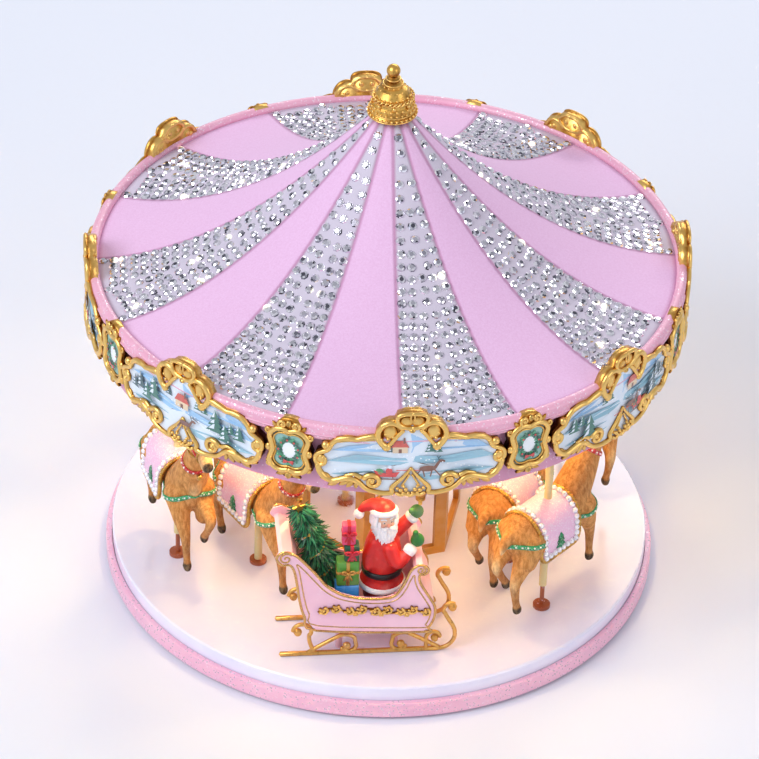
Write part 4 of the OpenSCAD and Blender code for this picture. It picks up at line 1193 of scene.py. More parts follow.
# %% The coat finish
coat = Finish("reindeer_coat", Specular_IOR_Level=0.35)
strands = coat.noise(620, 4.0, coat.spot((1, 1, 0.35)), 0.7)
clumps = coat.noise(170, 2.0)
tint = coat.stored("paint", "Color")
dark_fur = coat.mix(0.5, tint, srgb(128, 76, 34), "MULTIPLY")
light_fur = coat.mix(0.2, tint, srgb(240, 205, 150), "MIX")
fur = coat.mix(coat.ease(strands, 0.34, 0.66), dark_fur, light_fur)
fur = coat.mix(coat.ease(clumps, 0.3, 0.7) * 0.3, fur, tint)
fur_bump = coat.bump(strands * 0.7 + clumps * 0.5, 0.00055, 0.8)
coat.feed(Base_Color=fur, Roughness=0.58 + strands * 0.2, Normal=fur_bump)
print("coat nodes:", len(coat.tree.nodes))

# %% [markdown]
# ## The reindeer's tack
# Over the casting come a padded-looking pink saddle cloth edged with gold braid and set with
# round stones, a green fir on each flank, dotted green straps and a gold-and-red bridle. The
# cloth follows the body over the spine and then hangs straight down each side. Straps are laid
# by pulling a rough path onto the nearest skin, so they touch the body all along.

# %% Saddle cloth
CLOTH_FROM = -19.4
CLOTH_TO = 10.7
CLOTH_OVER = 20.2
CLOTH_HANG = 12.6


def cloth_point(u, s, lift):
    """u runs 0..1 along the back, s is the distance from the spine, signed."""
    side = 1 if s >= 0 else -1
    run = abs(s)
    corner = max(0.0, run - (CLOTH_OVER + CLOTH_HANG - 5.5)) / 5.5
    short = 5.5 * (1 - math.sqrt(max(0.0, 1 - min(corner, 1.0) ** 2)))
    length = (CLOTH_TO - CLOTH_FROM) / 2 - short
    x = (CLOTH_FROM + CLOTH_TO) / 2 + (u - 0.5) * 2 * length
    half = 11.6 + lift
    if run < CLOTH_OVER:
        a = run / CLOTH_OVER * math.pi / 2
        return Vector((x, side * half * math.sin(a), 43.8 + (12.0 + lift) * math.cos(a)))
    drop = run - CLOTH_OVER
    return Vector((x, side * (half + 0.05 * drop), 43.8 - drop))


def cloth_sheet(clay, lift_in, lift_out, paint):
    columns, rows = 25, 45
    reach = CLOTH_OVER + CLOTH_HANG
    points = []
    for lift in (lift_in, lift_out):
        for j in range(rows):
            s = -reach + 2 * reach * j / (rows - 1)
            for i in range(columns):
                points.append(cloth_point(i / (columns - 1), s, lift))
    faces = []
    layer = columns * rows
    for j in range(rows - 1):
        for i in range(columns - 1):
            a = j * columns + i
            faces.append((a, a + columns, a + columns + 1, a + 1))
            faces.append((layer + a, layer + a + 1, layer + a + columns + 1, layer + a + columns))
    ring = [i for i in range(columns)] + [columns * (j + 1) - 1 for j in range(1, rows)]
    ring += [layer - 1 - i for i in range(1, columns)]
    ring += [columns * (rows - 1 - j) for j in range(1, rows - 1)]
    for k, a in enumerate(ring):
        b = ring[(k + 1) % len(ring)]
        faces.append((a, b, layer + b, layer + a))
    clay.add(points, faces, paint=paint, relief=0.0)


def cloth_edge(inset, lift):
    """Points round the cloth's edge, inset from it, about a millimetre apart."""
    reach = CLOTH_OVER + CLOTH_HANG - inset
    share = inset / (CLOTH_TO - CLOTH_FROM)
    long_way = [cloth_point(share, -reach + 2 * reach * k / 70, lift) for k in range(71)]
    far_way = [cloth_point(1 - share, reach - 2 * reach * k / 70, lift) for k in range(71)]
    low_a = [cloth_point(share + (1 - 2 * share) * k / 16, reach, lift) for k in range(1, 16)]
    low_b = [cloth_point(1 - share - (1 - 2 * share) * k / 16, -reach, lift)
             for k in range(1, 16)]
    return long_way + low_a + far_way + low_b


def spaced(line, gap, closed=True):
    """Points a fixed distance apart along a line."""
    line = [Vector(p) for p in line]
    if closed:
        line.append(line[0])
    total = sum((b - a).length for a, b in zip(line, line[1:]))
    count = max(2, round(total / gap))
    every = total / count
    found = [line[0]]
    left = every
    for a, b in zip(line, line[1:]):
        length = (b - a).length
        done = 0.0
        while length - done >= left - 1e-9 and len(found) < count:
            done += left
            found.append(a.lerp(b, done / length))
            left = every
        left -= length - done
    return found


GOLD = srgb(206, 158, 74)[:3]
CLOTH_PINK = srgb(242, 194, 220)[:3]
STRAP_GREEN = srgb(38, 150, 92)[:3]
DOT_WHITE = srgb(246, 246, 240)[:3]
FIR_GREEN = srgb(10, 136, 78)[:3]
tack = Clay()
cloth_sheet(tack, 0.1, 1.0, CLOTH_PINK)
tack.add(*sweep(cloth_edge(0.2, 0.8), 1.0, 6, closed=True), paint=GOLD, relief=1.0)
for bead in spaced(cloth_edge(0.2, 0.8), 1.5):
    tack.add(*pebble(bead, 1.3, 3, 6), paint=GOLD, relief=1.0)
for bead in spaced(cloth_edge(2.9, 1.4), 3.3):
    tack.add(*pebble(bead, 1.6, 5, 8), paint=(0.97, 0.95, 0.98), relief=0.6)

# %% Fir emblems, straps, bridle
def nearest_skin(point, lift):
    place, normal, _, _ = deer_tree.find_nearest(Vector(point))
    return place + normal * lift, normal


def strap(clay, path, width, paint, lift=0.35, thick=0.5, dots=0.0, metal=0.0):
    line = smooth_line(path, 7)
    skin = [nearest_skin(p, lift) for p in line]
    spots = [s[0] for s in skin]
    for _ in range(2):
        spots = [spots[0]] + [(a + b * 2 + c) / 4 for a, b, c in
                              zip(spots, spots[1:], spots[2:])] + [spots[-1]]
    points = []
    for i, spot in enumerate(spots):
        along = (spots[min(i + 1, len(spots) - 1)] - spots[max(i - 1, 0)]).normalized()
        normal = skin[i][1]
        across = along.cross(normal).normalized()
        for sx, sz in ((-1, 0), (-1, 1), (1, 1), (1, 0)):
            points.append(spot + across * sx * width / 2 + normal * (sz * thick - 0.1))
    faces = []
    for i in range(len(spots) - 1):
        for k in range(4):
            n = (k + 1) % 4
            faces.append((4 * i + k, 4 * i + n, 4 * i + 4 + n, 4 * i + 4 + k))
    last = 4 * (len(spots) - 1)
    faces += [(0, 3, 2, 1), (last, last + 1, last + 2, last + 3)]
    clay.add(points, faces, paint=paint, relief=metal)
    if dots:
        for spot in spaced(spots, dots, False):
            _, normal = nearest_skin(spot, 0)
            clay.add(*pebble(spot + normal * thick, 0.55, 3, 6), paint=DOT_WHITE, relief=0.0)


for side in (-1, 1):
    fir = [(0, 9.4), (2.1, 6.6), (1.1, 6.6), (2.9, 3.9), (1.5, 3.9), (3.6, 1.2), (0.6, 1.2), (0.6, 0),
           (-0.6, 0), (-0.6, 1.2), (-3.6, 1.2), (-1.5, 3.9), (-2.9, 3.9), (-1.1, 6.6), (-2.1, 6.6)]
    points, faces = plate(fir, 0, 0.8, 0.3, (0, 3.5))
    turned = [(-4.2 + x, side * (12.75 + z - 0.03 * y), 34.4 + y) for x, y, z in points]
    tack.add(turned, faces, paint=FIR_GREEN, relief=0.0)
    strap(tack, [(10, side * 12, 43), (17, side * 11.6, 42), (26, side * 9, 44), (31, side * 4, 46),
                 (32, 0, 46.6)], 2.4, STRAP_GREEN, dots=3.0)
    strap(tack, [(-19, side * 12, 44), (-25, side * 9.5, 44.5), (-30, side * 5, 45), (-32, 0, 44)],
          2.4, STRAP_GREEN, dots=3.0)
    strap(tack, [(46.2, 0, 86.6), (46.2, side * 3.5, 84), (46.0, side * 3, 80.5), (46, 0, 79.4)],
          1.3, GOLD, metal=1.0)
    strap(tack, [(46.2, side * 3.6, 83.5), (42, side * 4.6, 84.5), (37, side * 5, 84.5),
                 (33.4, side * 4.8, 84)], 1.1, srgb(190, 40, 40)[:3])
    strap(tack, [(37, 0, 93), (36.2, side * 4, 90.5), (35.4, side * 5, 86), (36.6, side * 3, 80.5),
                 (38, 0, 79.6)], 1.2, GOLD, metal=1.0)
    strap(tack, [(28.6, 0, 72.4), (31.4, side * 6, 70), (35.8, side * 5, 67), (39, 0, 65.5)],
          2.2, srgb(190, 40, 40)[:3], dots=2.6)
tack.add(*pebble((38.6, 0, 64.2), 1.7, 6, 10), paint=GOLD, relief=1.0)

# %% The tack finish: enamel, gold and stones told apart by the relief value
trim = Finish("reindeer_tack")
kind = trim.stored("relief")
shade = trim.stored("paint", "Color")
grain = trim.noise(1500, 2.0)
metal = trim.ease(kind, 0.55, 0.9)
stone_like = trim.ease(kind, 0.3, 0.55) * (1 - metal)
sparkle = trim.cells(1900, "Color")
sparkle_value = trim.add("ShaderNodeSeparateColor", None, {0: sparkle}, 0)
glitter = trim.ease(sparkle_value, 0.72, 1.0)
worn = trim.mix(trim.ease(trim.noise(260, 3.0), 0.45, 0.75) * metal * 0.6, shade,
                srgb(96, 54, 20))
lit = trim.mix(glitter * (0.5 - metal * 0.4), worn, (1, 1, 1, 1))
# Painted reflections: the stones on the tack get dark facets at random.
lit = trim.mix(stone_like * trim.ease(sparkle_value, 0.1, 0.0) * 0.7, lit, srgb(90, 80, 92))
tack_bump = trim.bump(grain + glitter * 0.6, 0.00012, 0.6)
trim.feed(Base_Color=lit, Metallic=metal * 0.95 + stone_like * 0.35,
          Roughness=0.42 - metal * 0.12 - stone_like * 0.3 + grain * 0.12, Normal=tack_bump)

# %% Stand the ten reindeer on their poles
DECK_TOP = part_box("deck")[1].z / MM
HOOF_GAP = 1.5
STROKE = 12.0


def round_the_deck(angle, radius, height):
    a = math.radians(angle)
    cosine, sine = math.cos(a), math.sin(a)

    def way(p):
        x, y, z = p
        y = y - radius
        return (x * cosine - y * sine, x * sine + y * cosine, z + height)
    return way


herd = Clay()
herd.add(deer_points, deer_faces, paint=deer_paint)
herd.join(antlers)
for row, radius, lead, body, rise in (("outer", 110.0, 0.0, "outer_ride", STROKE),
                                      ("inner", 74.4, 14.0, "inner_ride", 0.0)):
    for number in range(5):
        way = round_the_deck(44.5 + 60 * number + lead, radius, DECK_TOP + HOOF_GAP + rise)
        label = f"{row}_reindeer_{number + 1}"
        animal = Clay().join(herd, way)
        animal.fire(label + "_skin", body, coat.material, replaces=[label],
                    slot="reindeer_resin")
        gear = Clay().join(tack, way)
        gear.fire(label + "_tack", body, trim.material, slot="reindeer_resin")

# %% [markdown]
# ## The sleigh
# The engineering sleigh already has the right panels, back and dash, so it keeps its mesh and
# only gets a deeper enamel. Gold piping follows the edge of each side panel and ends in curls
# on the rolled back and dash. The flat runner bars are replaced by round wrought scrolls, laid
# out once in the runner's own plane and repeated on both sides.

# %% Painted resin: enamel and gold told apart by the relief value
def painted_resin(name, gloss, fleck, bump_size, clear=0.25):
    finish = Finish(name, Specular_IOR_Level=0.45, Coat_Weight=clear, Coat_Roughness=0.22)
    gold = finish.ease(finish.stored("relief"), 0.55, 0.9)
    colour = finish.stored("paint", "Color")
    fine = finish.noise(fleck, 4.0, None, 0.65)
    broad = finish.noise(90, 3.0)
    deep = finish.mix(0.6, colour, srgb(150, 110, 100), "MULTIPLY")
    worn = finish.mix(finish.ease(fine, 0.5, 0.25) * 0.35, colour, deep)
    worn = finish.mix(finish.ease(broad, 0.5, 0.8) * 0.16, worn, srgb(255, 236, 220))
    worn = finish.mix(gold * finish.ease(fine, 0.5, 0.3) * 0.35, worn, srgb(110, 64, 26))
    finish.feed(Base_Color=worn, Metallic=gold * 0.92,
                Roughness=gloss - gold * 0.12 + fine * 0.16,
                Normal=finish.bump(fine + broad * 0.5, bump_size, 0.7))
    return finish


enamel = painted_resin("sleigh_enamel", 0.3, 300, 0.00006, 0.5)
resin = painted_resin("figure_resin", 0.42, 460, 0.00022)
wool = painted_resin("carved_wool", 0.6, 330, 0.0011, 0.05)
runner_gold = painted_resin("runner_gold", 0.36, 380, 0.00012)

SLEIGH_TURN = math.radians(1)
SLEIGH_X = -20.6
SLEIGH_Y = -97.5
PANEL_SIDE = 19.4
RUNNER_SIDE = 14.1


def in_sleigh(p):
    x, y, z = p
    cosine, sine = math.cos(SLEIGH_TURN), math.sin(SLEIGH_TURN)
    return (x * cosine - y * sine + SLEIGH_X, x * sine + y * cosine + SLEIGH_Y, z + DECK_TOP)


# %% Gold piping and curls on the side panels
PIPING = srgb(214, 166, 96)[:3]
PANEL_EDGE = [(-20.5, 20), (-26.5, 29), (-29, 38.5), (-30.5, 49), (-32, 58), (-34.4, 62.4),
              (-38, 62.6), (-40.8, 66), (-39.6, 69.2), (-36, 70.2), (-31.5, 68), (-27.3, 63.5),
              (-21.3, 55.8), (-15.8, 48), (-9.1, 42.7), (-2, 40), (6, 38.8), (14, 38.8),
              (18.5, 40.6), (21.5, 45), (23.8, 50), (26, 56), (29.6, 58.8), (33.2, 58.2),
              (34.6, 55.4), (32.6, 53.2), (30.4, 53), (30.2, 50), (31.5, 46), (35.5, 38.5),
              (38.5, 32), (38.2, 25), (35.5, 19), (32.5, 16.5)]
PANEL_INSET = [(-19.4, 23), (-24.3, 31), (-26.6, 39.5), (-28.2, 49), (-29.6, 58), (-31.0, 62.6),
               (-28.2, 60), (-22.6, 52.6), (-16.8, 45.2), (-9.8, 40), (-2, 37.4), (6, 36.2),
               (15, 36.2), (20.3, 38.8), (23.6, 44), (25.9, 50), (27.6, 53), (28.2, 48.5),
               (30, 43.4), (33.6, 36.8), (36.2, 31), (35.9, 25.4), (34, 21), (32, 19.2)]
piping = Clay()
for side in (-1, 1):
    y = side * (PANEL_SIDE - 0.15)
    edge_line = smooth_line([(x, y, z) for x, z in PANEL_EDGE], 4, True)
    piping.add(*sweep(edge_line, 0.72, 8, closed=True), paint=PIPING)
    inset_line = smooth_line([(x, y, z) for x, z in PANEL_INSET], 4, True)
    piping.add(*sweep(inset_line, 0.42, 6, closed=True), paint=PIPING)
    for x, z, size, start, turns in ((-36.2, 66.3, 3.6, 40, 1.4), (30.9, 55.8, 2.4, 60, -1.4)):
        curl = [(px, y + side * 0.2, pz) for px, pz, _ in spiral((x, z), size, 0.5, start, turns)]
        piping.add(*sweep(curl, 0.5, 6), paint=PIPING)
Clay().join(piping, in_sleigh).fire("sleigh_piping", "turntable", enamel.material,
                                    slot="runner_gold")

# %% Floral scrolls along each side
flowers = Clay()
for i in range(9):
    x = -17.2 + i * 6.4
    z = 33.6 - i * 0.42 + (0.9 if i % 2 else -0.6)
    size = 2.7 if i in (3, 4, 5) else 2.3
    turns = 1.25 if i % 2 else -1.25
    curl = [(px, pz, 0.8) for px, pz, _ in spiral((x, z), size, 0.45, 70 + 140 * (i % 2), turns)]
    flowers.add(*sweep(curl, [0.72 - 0.016 * k for k in range(21)], 7, up=(0, 0, 1)))
    flowers.add(*pebble((x, z, 0.9), (0.8, 0.8, 0.7), 5, 8))
    for k in range(5):
        a = math.tau * k / 5 + i
        petal = (x + 3.0 * math.cos(a), z + 2.5 * math.sin(a))
        leaf(flowers, (x + 1.3 * math.cos(a), z + 1.2 * math.sin(a)), petal, 0.8, 0.9)
    if i in (2, 4, 6):
        for k in range(6):
            a = math.tau * k / 6
            flowers.add(*pebble((x + 3.2 + 1.15 * math.cos(a), z - 1.3 + 1.15 * math.sin(a), 1.0),
                                (0.72, 0.72, 0.55), 4, 7))
        flowers.add(*pebble((x + 3.2, z - 1.3, 1.3), 0.7, 4, 7))
branch = smooth_line([(-20, 32.4, 0.4), (-12, 34.4, 0.4), (-4, 31.4, 0.4), (6, 33.2, 0.4),
                      (16, 29.8, 0.4), (25, 31.6, 0.4), (35.4, 28.6, 0.4)], 6)
flowers.add(*sweep(branch, 0.5, 6))
depth_marked(flowers, 0.1, 1.9)
bands = Clay()
for side in (-1, 1):
    bands.join(flowers, lambda p: in_sleigh((p[0], side * (PANEL_SIDE + 0.1 + p[2]), p[1])))
bands.fire("sleigh_scroll_bands", "turntable", gilt.material, replaces=["sleigh_ornaments"],
           slot="gilt")

# %% Wrought runners
def arc_line(x, z, size, start, stop, steps=14):
    turns = [math.radians(start + (stop - start) * k / steps) for k in range(steps + 1)]
    return [(x + size * math.cos(a), z + size * math.sin(a)) for a in turns]


RUNNER_GOLD = srgb(222, 170, 88)[:3]
bars = [arc_line(47.2, 26.2, 3.7, 222, 60),
        [(44.4, 23.8), (46.2, 20), (48.4, 16), (49.6, 12.6)] + arc_line(41.4, 9.7, 8.4, 10, -90),
        [(41.4, 1.3), (20, 1.3), (-10, 1.3), (-38, 1.3)],
        arc_line(-27.2, 15.4, 4.6, 175, -40) + [(-23.2, 8), (-21, 1.6)],
        arc_line(38.8, 8.6, 3.4, 0, 185) + [(35.4, 4.8), (35.4, 1.6)]]
for mirror in (1, -1):
    bridge = [(-24, 1.8), (-17.5, 6.2), (-11, 10.2)] + arc_line(-5.7, 6, 6.4, 118, 38)
    bridge += arc_line(-3.6, 5.4, 3.7, 20, -160)
    bars.append([(x if mirror > 0 else 18 - x, z) for x, z in bridge])
knobs = [(48, 27.6, 2.3), (-29.4, 15.2, 2.2), (39.6, 8.2, 2.0), (-4.6, 5.2, 2.1), (22.6, 5.2, 2.1)]
runners = Clay()
for side in (-1, 1):
    y = side * RUNNER_SIDE
    for bar in bars:
        line = smooth_line([(x, y, z) for x, z in bar], 3)
        size = 1.1 if len(bar) > 4 else 1.3
        runners.add(*sweep(line, size, 10, up=(0, 1, 0)), paint=RUNNER_GOLD)
    for x, z, size in knobs:
        runners.add(*pebble((x, y, z), (size, 1.7, size), 8, 14), paint=RUNNER_GOLD)
        ring = arc_line(x, z, size * 0.66, 0, 342, 19)
        runners.add(*sweep([(px, y - 1.35, pz) for px, pz in ring], 0.32, 5, closed=True),
                    paint=RUNNER_GOLD)
Clay().join(runners, in_sleigh).fire("wrought_runners", "turntable", runner_gold.material,
                                     replaces=["sleigh_runners"], slot="runner_gold")

# %% [markdown]
# ## The driver
# A jolly standing figure in a red coat. The coat with its arms, the hat, the legs and each
# mitten are melted from a few forms and have one colour each. The hair and beard are many
# separate tapering locks, because carved hair shows its strands even from far away. The face
# is a plain, calm one: an oval, two eyes halfway down the head, a round nose and cheeks. Face,
# hair, beard and the fur down the coat are turned a little towards the front of the sleigh.

# %% Coat, arms, trousers and hat
FIGURE_X = 13.5
FACING = math.radians(17)
COAT_RED = srgb(206, 30, 26)[:3]
HAT_RED = srgb(208, 34, 28)[:3]
TROUSER_RED = srgb(128, 16, 24)[:3]
WOOL_WHITE = srgb(244, 246, 250)[:3]
MITTEN = srgb(34, 118, 44)[:3]
BELT = srgb(22, 20, 24)[:3]
SKIN = srgb(238, 196, 164)[:3]


def facing(p):
    x, y, z = p
    cosine, sine = math.cos(FACING), math.sin(FACING)
    return (x * cosine - y * sine, x * sine + y * cosine, z)


def at_driver_place(p):
    return in_sleigh((p[0] + FIGURE_X, p[1], p[2]))


coat_shape = Clay()
coat_shape.add(*turning([(0, 33), (8, 33.2), (11, 34.6), (11.1, 37.4), (9.7, 40), (9.3, 45), (9.8, 50),
                         (9.4, 56), (8.4, 61), (6.4, 66), (3.4, 69), (0, 69.6)], 40))
limb(coat_shape, ((4, 2.5, 62), 4.4), ((9, 3.4, 66), 3.7), ((14.2, 4, 71.2), 3.2))
limb(coat_shape, ((3, -7.4, 60.5), 4.0), ((6.6, -10.6, 54), 3.3), ((12, -8.4, 59), 3.0))
limb(coat_shape, ((-4, -3, 61), 4.4), ((-7.4, -4.6, 55), 3.4), ((-7.6, -6.2, 50), 2.8))
points, faces = melt(coat_shape, 0.55, 4)
driver = Clay().add(points, faces, paint=COAT_RED, relief=0.0)
hat = Clay()
hat.add(*pebble((0.2, 0.4, 79.6), (6.2, 6.0, 5.0), 8, 16))
limb(hat, ((-1.6, 0.6, 81.2), 4.6), ((-6, 1, 82.2), 3.4), ((-9.8, 1, 81), 2.4), ((-12, 1, 78.4), 1.5))
points, faces = melt(hat, 0.5, 4)
driver.add(points, faces, paint=HAT_RED, relief=0.0)
legs = Clay()
for side in (-1, 1):
    limb(legs, ((side * 4.3, 0, 26), 4.2), ((side * 4.5, 0, 34), 5.2))
    legs.add(*pebble((side * 4.6, -2.4, 25.6), (3.6, 5.4, 1.9), 6, 12))
legs.add(*turning([(0, 24), (8.2, 24.1), (9.2, 27), (9.4, 34), (0, 34.6)], 32))
points, faces = melt(legs, 0.7, 3)
driver.add(points, faces, paint=TROUSER_RED, relief=0.0)
driver.add(*turning([(9.1, 42.6), (10.25, 42.8), (10.4, 44.2), (10.3, 45.8), (9.2, 46), (9.1, 42.6)], 48),
           paint=BELT, relief=0.0)
MITTENS = [(16.9, 4, 74.9, 3.6, (13.9, 1.2, 77.4)), (16.6, -5.9, 64.6, 3.6, (15.4, -7.2, 70.2))]
for cx, cy, cz, r, thumb in MITTENS:
    hand = Clay()
    hand.add(*pebble((cx, cy, cz), (r, r * 0.86, r * 1.08), 8, 12))
    limb(hand, ((cx - 1, cy, cz), 1.9), (thumb, 1.5))
    points, faces = melt(hand, 0.4, 2)
    driver.add(points, faces, paint=MITTEN, relief=0.0)

# %% Face
face = Clay()
face.add(*pebble((0, -1.0, 75.2), (5.3, 5.2, 6.2), 12, 18), paint=SKIN, relief=0.0)
face.add(*pebble((0, -6.4, 74.3), (1.0, 1.1, 1.0), 6, 10), paint=srgb(232, 160, 136)[:3], relief=0.0)
for side in (-1, 1):
    face.add(*pebble((side * 2.3, -5.2, 74.0), (1.5, 1.0, 1.2), 6, 10),
             paint=srgb(236, 172, 146)[:3], relief=0.0)
    face.add(*pebble((side * 1.9, -5.7, 76.0), (0.7, 0.36, 0.5), 6, 10), paint=(0.96, 0.95, 0.94), relief=0.0)
    face.add(*pebble((side * 1.9, -6.05, 76.0), (0.42, 0.2, 0.44), 5, 8),
             paint=srgb(40, 26, 20)[:3], relief=0.0)
    brow = smooth_line([(side * 0.9, -6.1, 77.6), (side * 2.1, -5.9, 78.2), (side * 3.4, -5.0, 77.7)], 4)
    face.add(*sweep(brow, 0.42, 6), paint=WOOL_WHITE, relief=0.0)
face.add(*pebble((0, -5.9, 71.6), (1.1, 0.5, 0.45), 5, 8), paint=srgb(190, 84, 84)[:3], relief=0.0)
driver.join(face, facing)
Clay().join(driver, at_driver_place).fire(
    "driver", "turntable", resin.material, replaces=["driver_figure"], slot="figure")

# %% Hair, beard and fur trims
locks = Clay()
chance = np.random.default_rng(11)
for ring in range(5):
    for k in range(15):
        a = math.radians(-112 + 224 * k / 14)
        spread = 5.6 - 0.35 * ring
        start = (spread * math.sin(a), -1.0 - spread * math.cos(a), 73.4 - 2.2 * ring
                 + 3.6 * abs(math.sin(a)))
        if abs(math.sin(a)) < 0.55 and ring == 0:
            start = (start[0], start[1], 72.0)
        reach = 5.2 + 1.6 * math.cos(a) + chance.uniform(-0.5, 0.5)
        sway = chance.uniform(-0.6, 0.6)
        out = 0.8 + 0.2 * ring
        middle = (start[0] * 1.12 + sway, start[1] - out * math.cos(a), start[2] - reach * 0.5)
        tip = (start[0] * 0.92 - sway, start[1] - out * math.cos(a) * 0.7 - 0.4, start[2] - reach)
        line = smooth_line([start, middle, tip], 4)
        locks.add(*sweep(line, [0.75, 0.95, 1.05, 1.05, 0.95, 0.85, 0.7, 0.5, 0.2], 6))
for side in (-1, 1):
    tash = smooth_line([(side * 0.3, -6.7, 73.0), (side * 2.0, -6.8, 72.6), (side * 3.8, -5.8, 71.2),
                        (side * 4.6, -4.9, 69.8)], 4)
    locks.add(*sweep(tash, [0.7, 0.9, 1.0, 1.0, 1.0, 0.95, 0.9, 0.8, 0.7, 0.55, 0.4, 0.3, 0.15], 7))
    for k in range(9):
        a = math.radians(side * (62 + 14 * k))
        top = (5.4 * math.sin(a), -0.6 - 5.4 * math.cos(a), 78.6)
        bottom = (5.9 * math.sin(a), -0.6 - 5.6 * math.cos(a), 71.4)
        line = smooth_line([top, ((top[0] + bottom[0]) * 0.56, (top[1] + bottom[1]) * 0.55, 75), bottom], 3)
        locks.add(*sweep(line, [0.8, 1.0, 1.15, 1.2, 1.1, 0.8, 0.4], 6))
woolly = Clay().join(locks, facing)
beard_core = Clay()
beard_core.add(*pebble((0, -4.4, 67.6), (4.6, 3.2, 6.2), 10, 16))
woolly.join(beard_core, facing)
brim = [(5.9 * math.sin(math.tau * k / 24), -0.4 - 5.9 * math.cos(math.tau * k / 24),
         79.9 + 1.1 * math.cos(math.tau * k / 24)) for k in range(24)]
woolly.add(*sweep(brim, 1.45, 10, closed=True))
woolly.add(*pebble((-12.2, 0.8, 77.2), 2.7, 10, 14))
hem = [(10.3 * math.sin(math.tau * k / 48), -10.3 * math.cos(math.tau * k / 48), 35.8)
       for k in range(48)]
woolly.add(*sweep(hem, 1.9, 10, closed=True))
fur_strip = [facing(p) for p in ((2.4, -9.4, 62), (3.2, -10.0, 57), (3.2, -10.2, 53))]
woolly.add(*sweep(smooth_line(fur_strip, 5), 1.25, 8))
woolly.add(*sweep([(13.6, 4, 70.6), (14.5, 4, 71.5), (15.2, 4, 72.4)], [3.3, 3.7, 3.3], 16))
woolly.add(*sweep([(11.6, -8.6, 58.6), (12.9, -7.9, 60.2), (14.0, -7.3, 61.5)], [3.0, 3.4, 3.0], 16))
woolly.coat(WOOL_WHITE, 0.0)
Clay().join(woolly, at_driver_place).fire(
    "driver_wool", "turntable", wool.material, slot="figure")

# %% [markdown]
# ## The fir tree
# The tree leans on the back of the sleigh. Its needles follow a rule, so they are grown: points
# wind up the trunk by the golden angle, the reach of a bough follows three saw teeth and the
# start of a fourth, and a drooping sprig stands on each point. The green changes after every
# sixteen mesh points. Garland, beads and star are laid on, following the same tiers.

# %% Grow the boughs
TREE_FOOT = Vector((-9.3, 5.6, 26))
TREE_LEAN = math.radians(19.5)
GOLDEN_ANGLE = 2.39996
TIER_FALL = 0.72
SHADE_RUN = 16
needle = painted_resin("fir_needles", 0.46, 520, 0.0003)


def on_tree(p):
    x, y, z = p
    leaned = (TREE_FOOT.x + x * math.cos(TREE_LEAN) - z * math.sin(TREE_LEAN),
              TREE_FOOT.y + y, TREE_FOOT.z + x * math.sin(TREE_LEAN) + z * math.cos(TREE_LEAN))
    return in_sleigh(leaned)


bough = Pattern("fir_pattern", Sprigs=1150, Low=7.0 * MM, Tier=15.0 * MM, Tiers=3.15,
                Wide=9.4 * MM, Taper=1.7 * MM, Seed=23)
index = bough.add("GeometryNodeInputIndex")
share = index / bough.size("Sprigs")
climb = share * bough.size("Tiers")
tier = bough.maths("FLOOR", climb)
within = climb - tier
reach = (bough.size("Wide") - bough.size("Taper") * tier) * (1 - within * TIER_FALL)
whorl = index * GOLDEN_ANGLE
up = bough.size("Low") + climb * bough.size("Tier")
near = bough.random(0.55, 0.98, bough.size("Seed"))
spot = bough.vector(bough.maths("COSINE", whorl) * reach * near,
                    bough.maths("SINE", whorl) * reach * near, up + (1 - near) * reach * 0.6)
sprig = bough.add("GeometryNodeMeshCone", {"fill_type": "TRIANGLE_FAN"}, {
    "Vertices": 5, "Side Segments": 2, "Radius Top": 0.00012, "Radius Bottom": 0.00085,
    "Depth": 0.0056})
cloud = bough.add("GeometryNodePoints", None, {"Count": bough.size("Sprigs"), "Position": spot})
jitter = bough.random(-0.35, 0.35, bough.size("Seed") + 1)
out = bough.vector(bough.maths("COSINE", whorl + jitter), bough.maths("SINE", whorl + jitter),
                   bough.random(-0.85, -0.1, bough.size("Seed") + 2))
stand = bough.add("FunctionNodeAlignRotationToVector", {"axis": "Z"}, {"Vector": out})
placed = bough.add("GeometryNodeInstanceOnPoints", None, {
    "Points": cloud, "Instance": sprig, "Rotation": stand,
    "Scale": bough.random(0.7, 1.15, bough.size("Seed") + 3)})
sprigs = plain(bough.grow(placed, "fir_sprigs", needle.material), "fir_sprigs",
               needle.material, True)
tree = Clay()
shades = [np.array(srgb(22, 104, 70)[:3]), np.array(srgb(46, 150, 96)[:3]),
          np.array(srgb(12, 70, 52)[:3])]
coords = [tuple(c / MM for c in v.co) for v in sprigs.data.vertices]
# Painted shade: needles near the trunk are darker, and they brighten towards the bough tips.
paint = [tuple(shades[(k // SHADE_RUN) % 3] * (0.7 + 0.5 * min(math.hypot(p[0], p[1]) / 10, 1)))
         for k, p in enumerate(coords)]
tree.add(coords, [tuple(f.vertices) for f in sprigs.data.polygons], paint=paint, relief=0.0)
bpy.data.objects.remove(sprigs)
tree.add(*sweep([(0, 0, 0.2), (0, 0, 8), (0, 0, 50)], [2.1, 1.9, 0.6], 10),
         paint=srgb(92, 56, 30)[:3], relief=0.0)
# Painted shade: the dark green cones inside the boughs stand where only shade shows between the sprigs.
for level in range(3):
    low = 7 + 15 * level
    tree.add(*turning([(0, low + 0.6), (7.4 - 1.5 * level, low + 0.8), (1.2, low + 19 - level),
                       (0, low + 19.4 - level)], 20), paint=srgb(10, 58, 40)[:3], relief=0.0)
print("fir tree:", len(tree.faces), "faces")

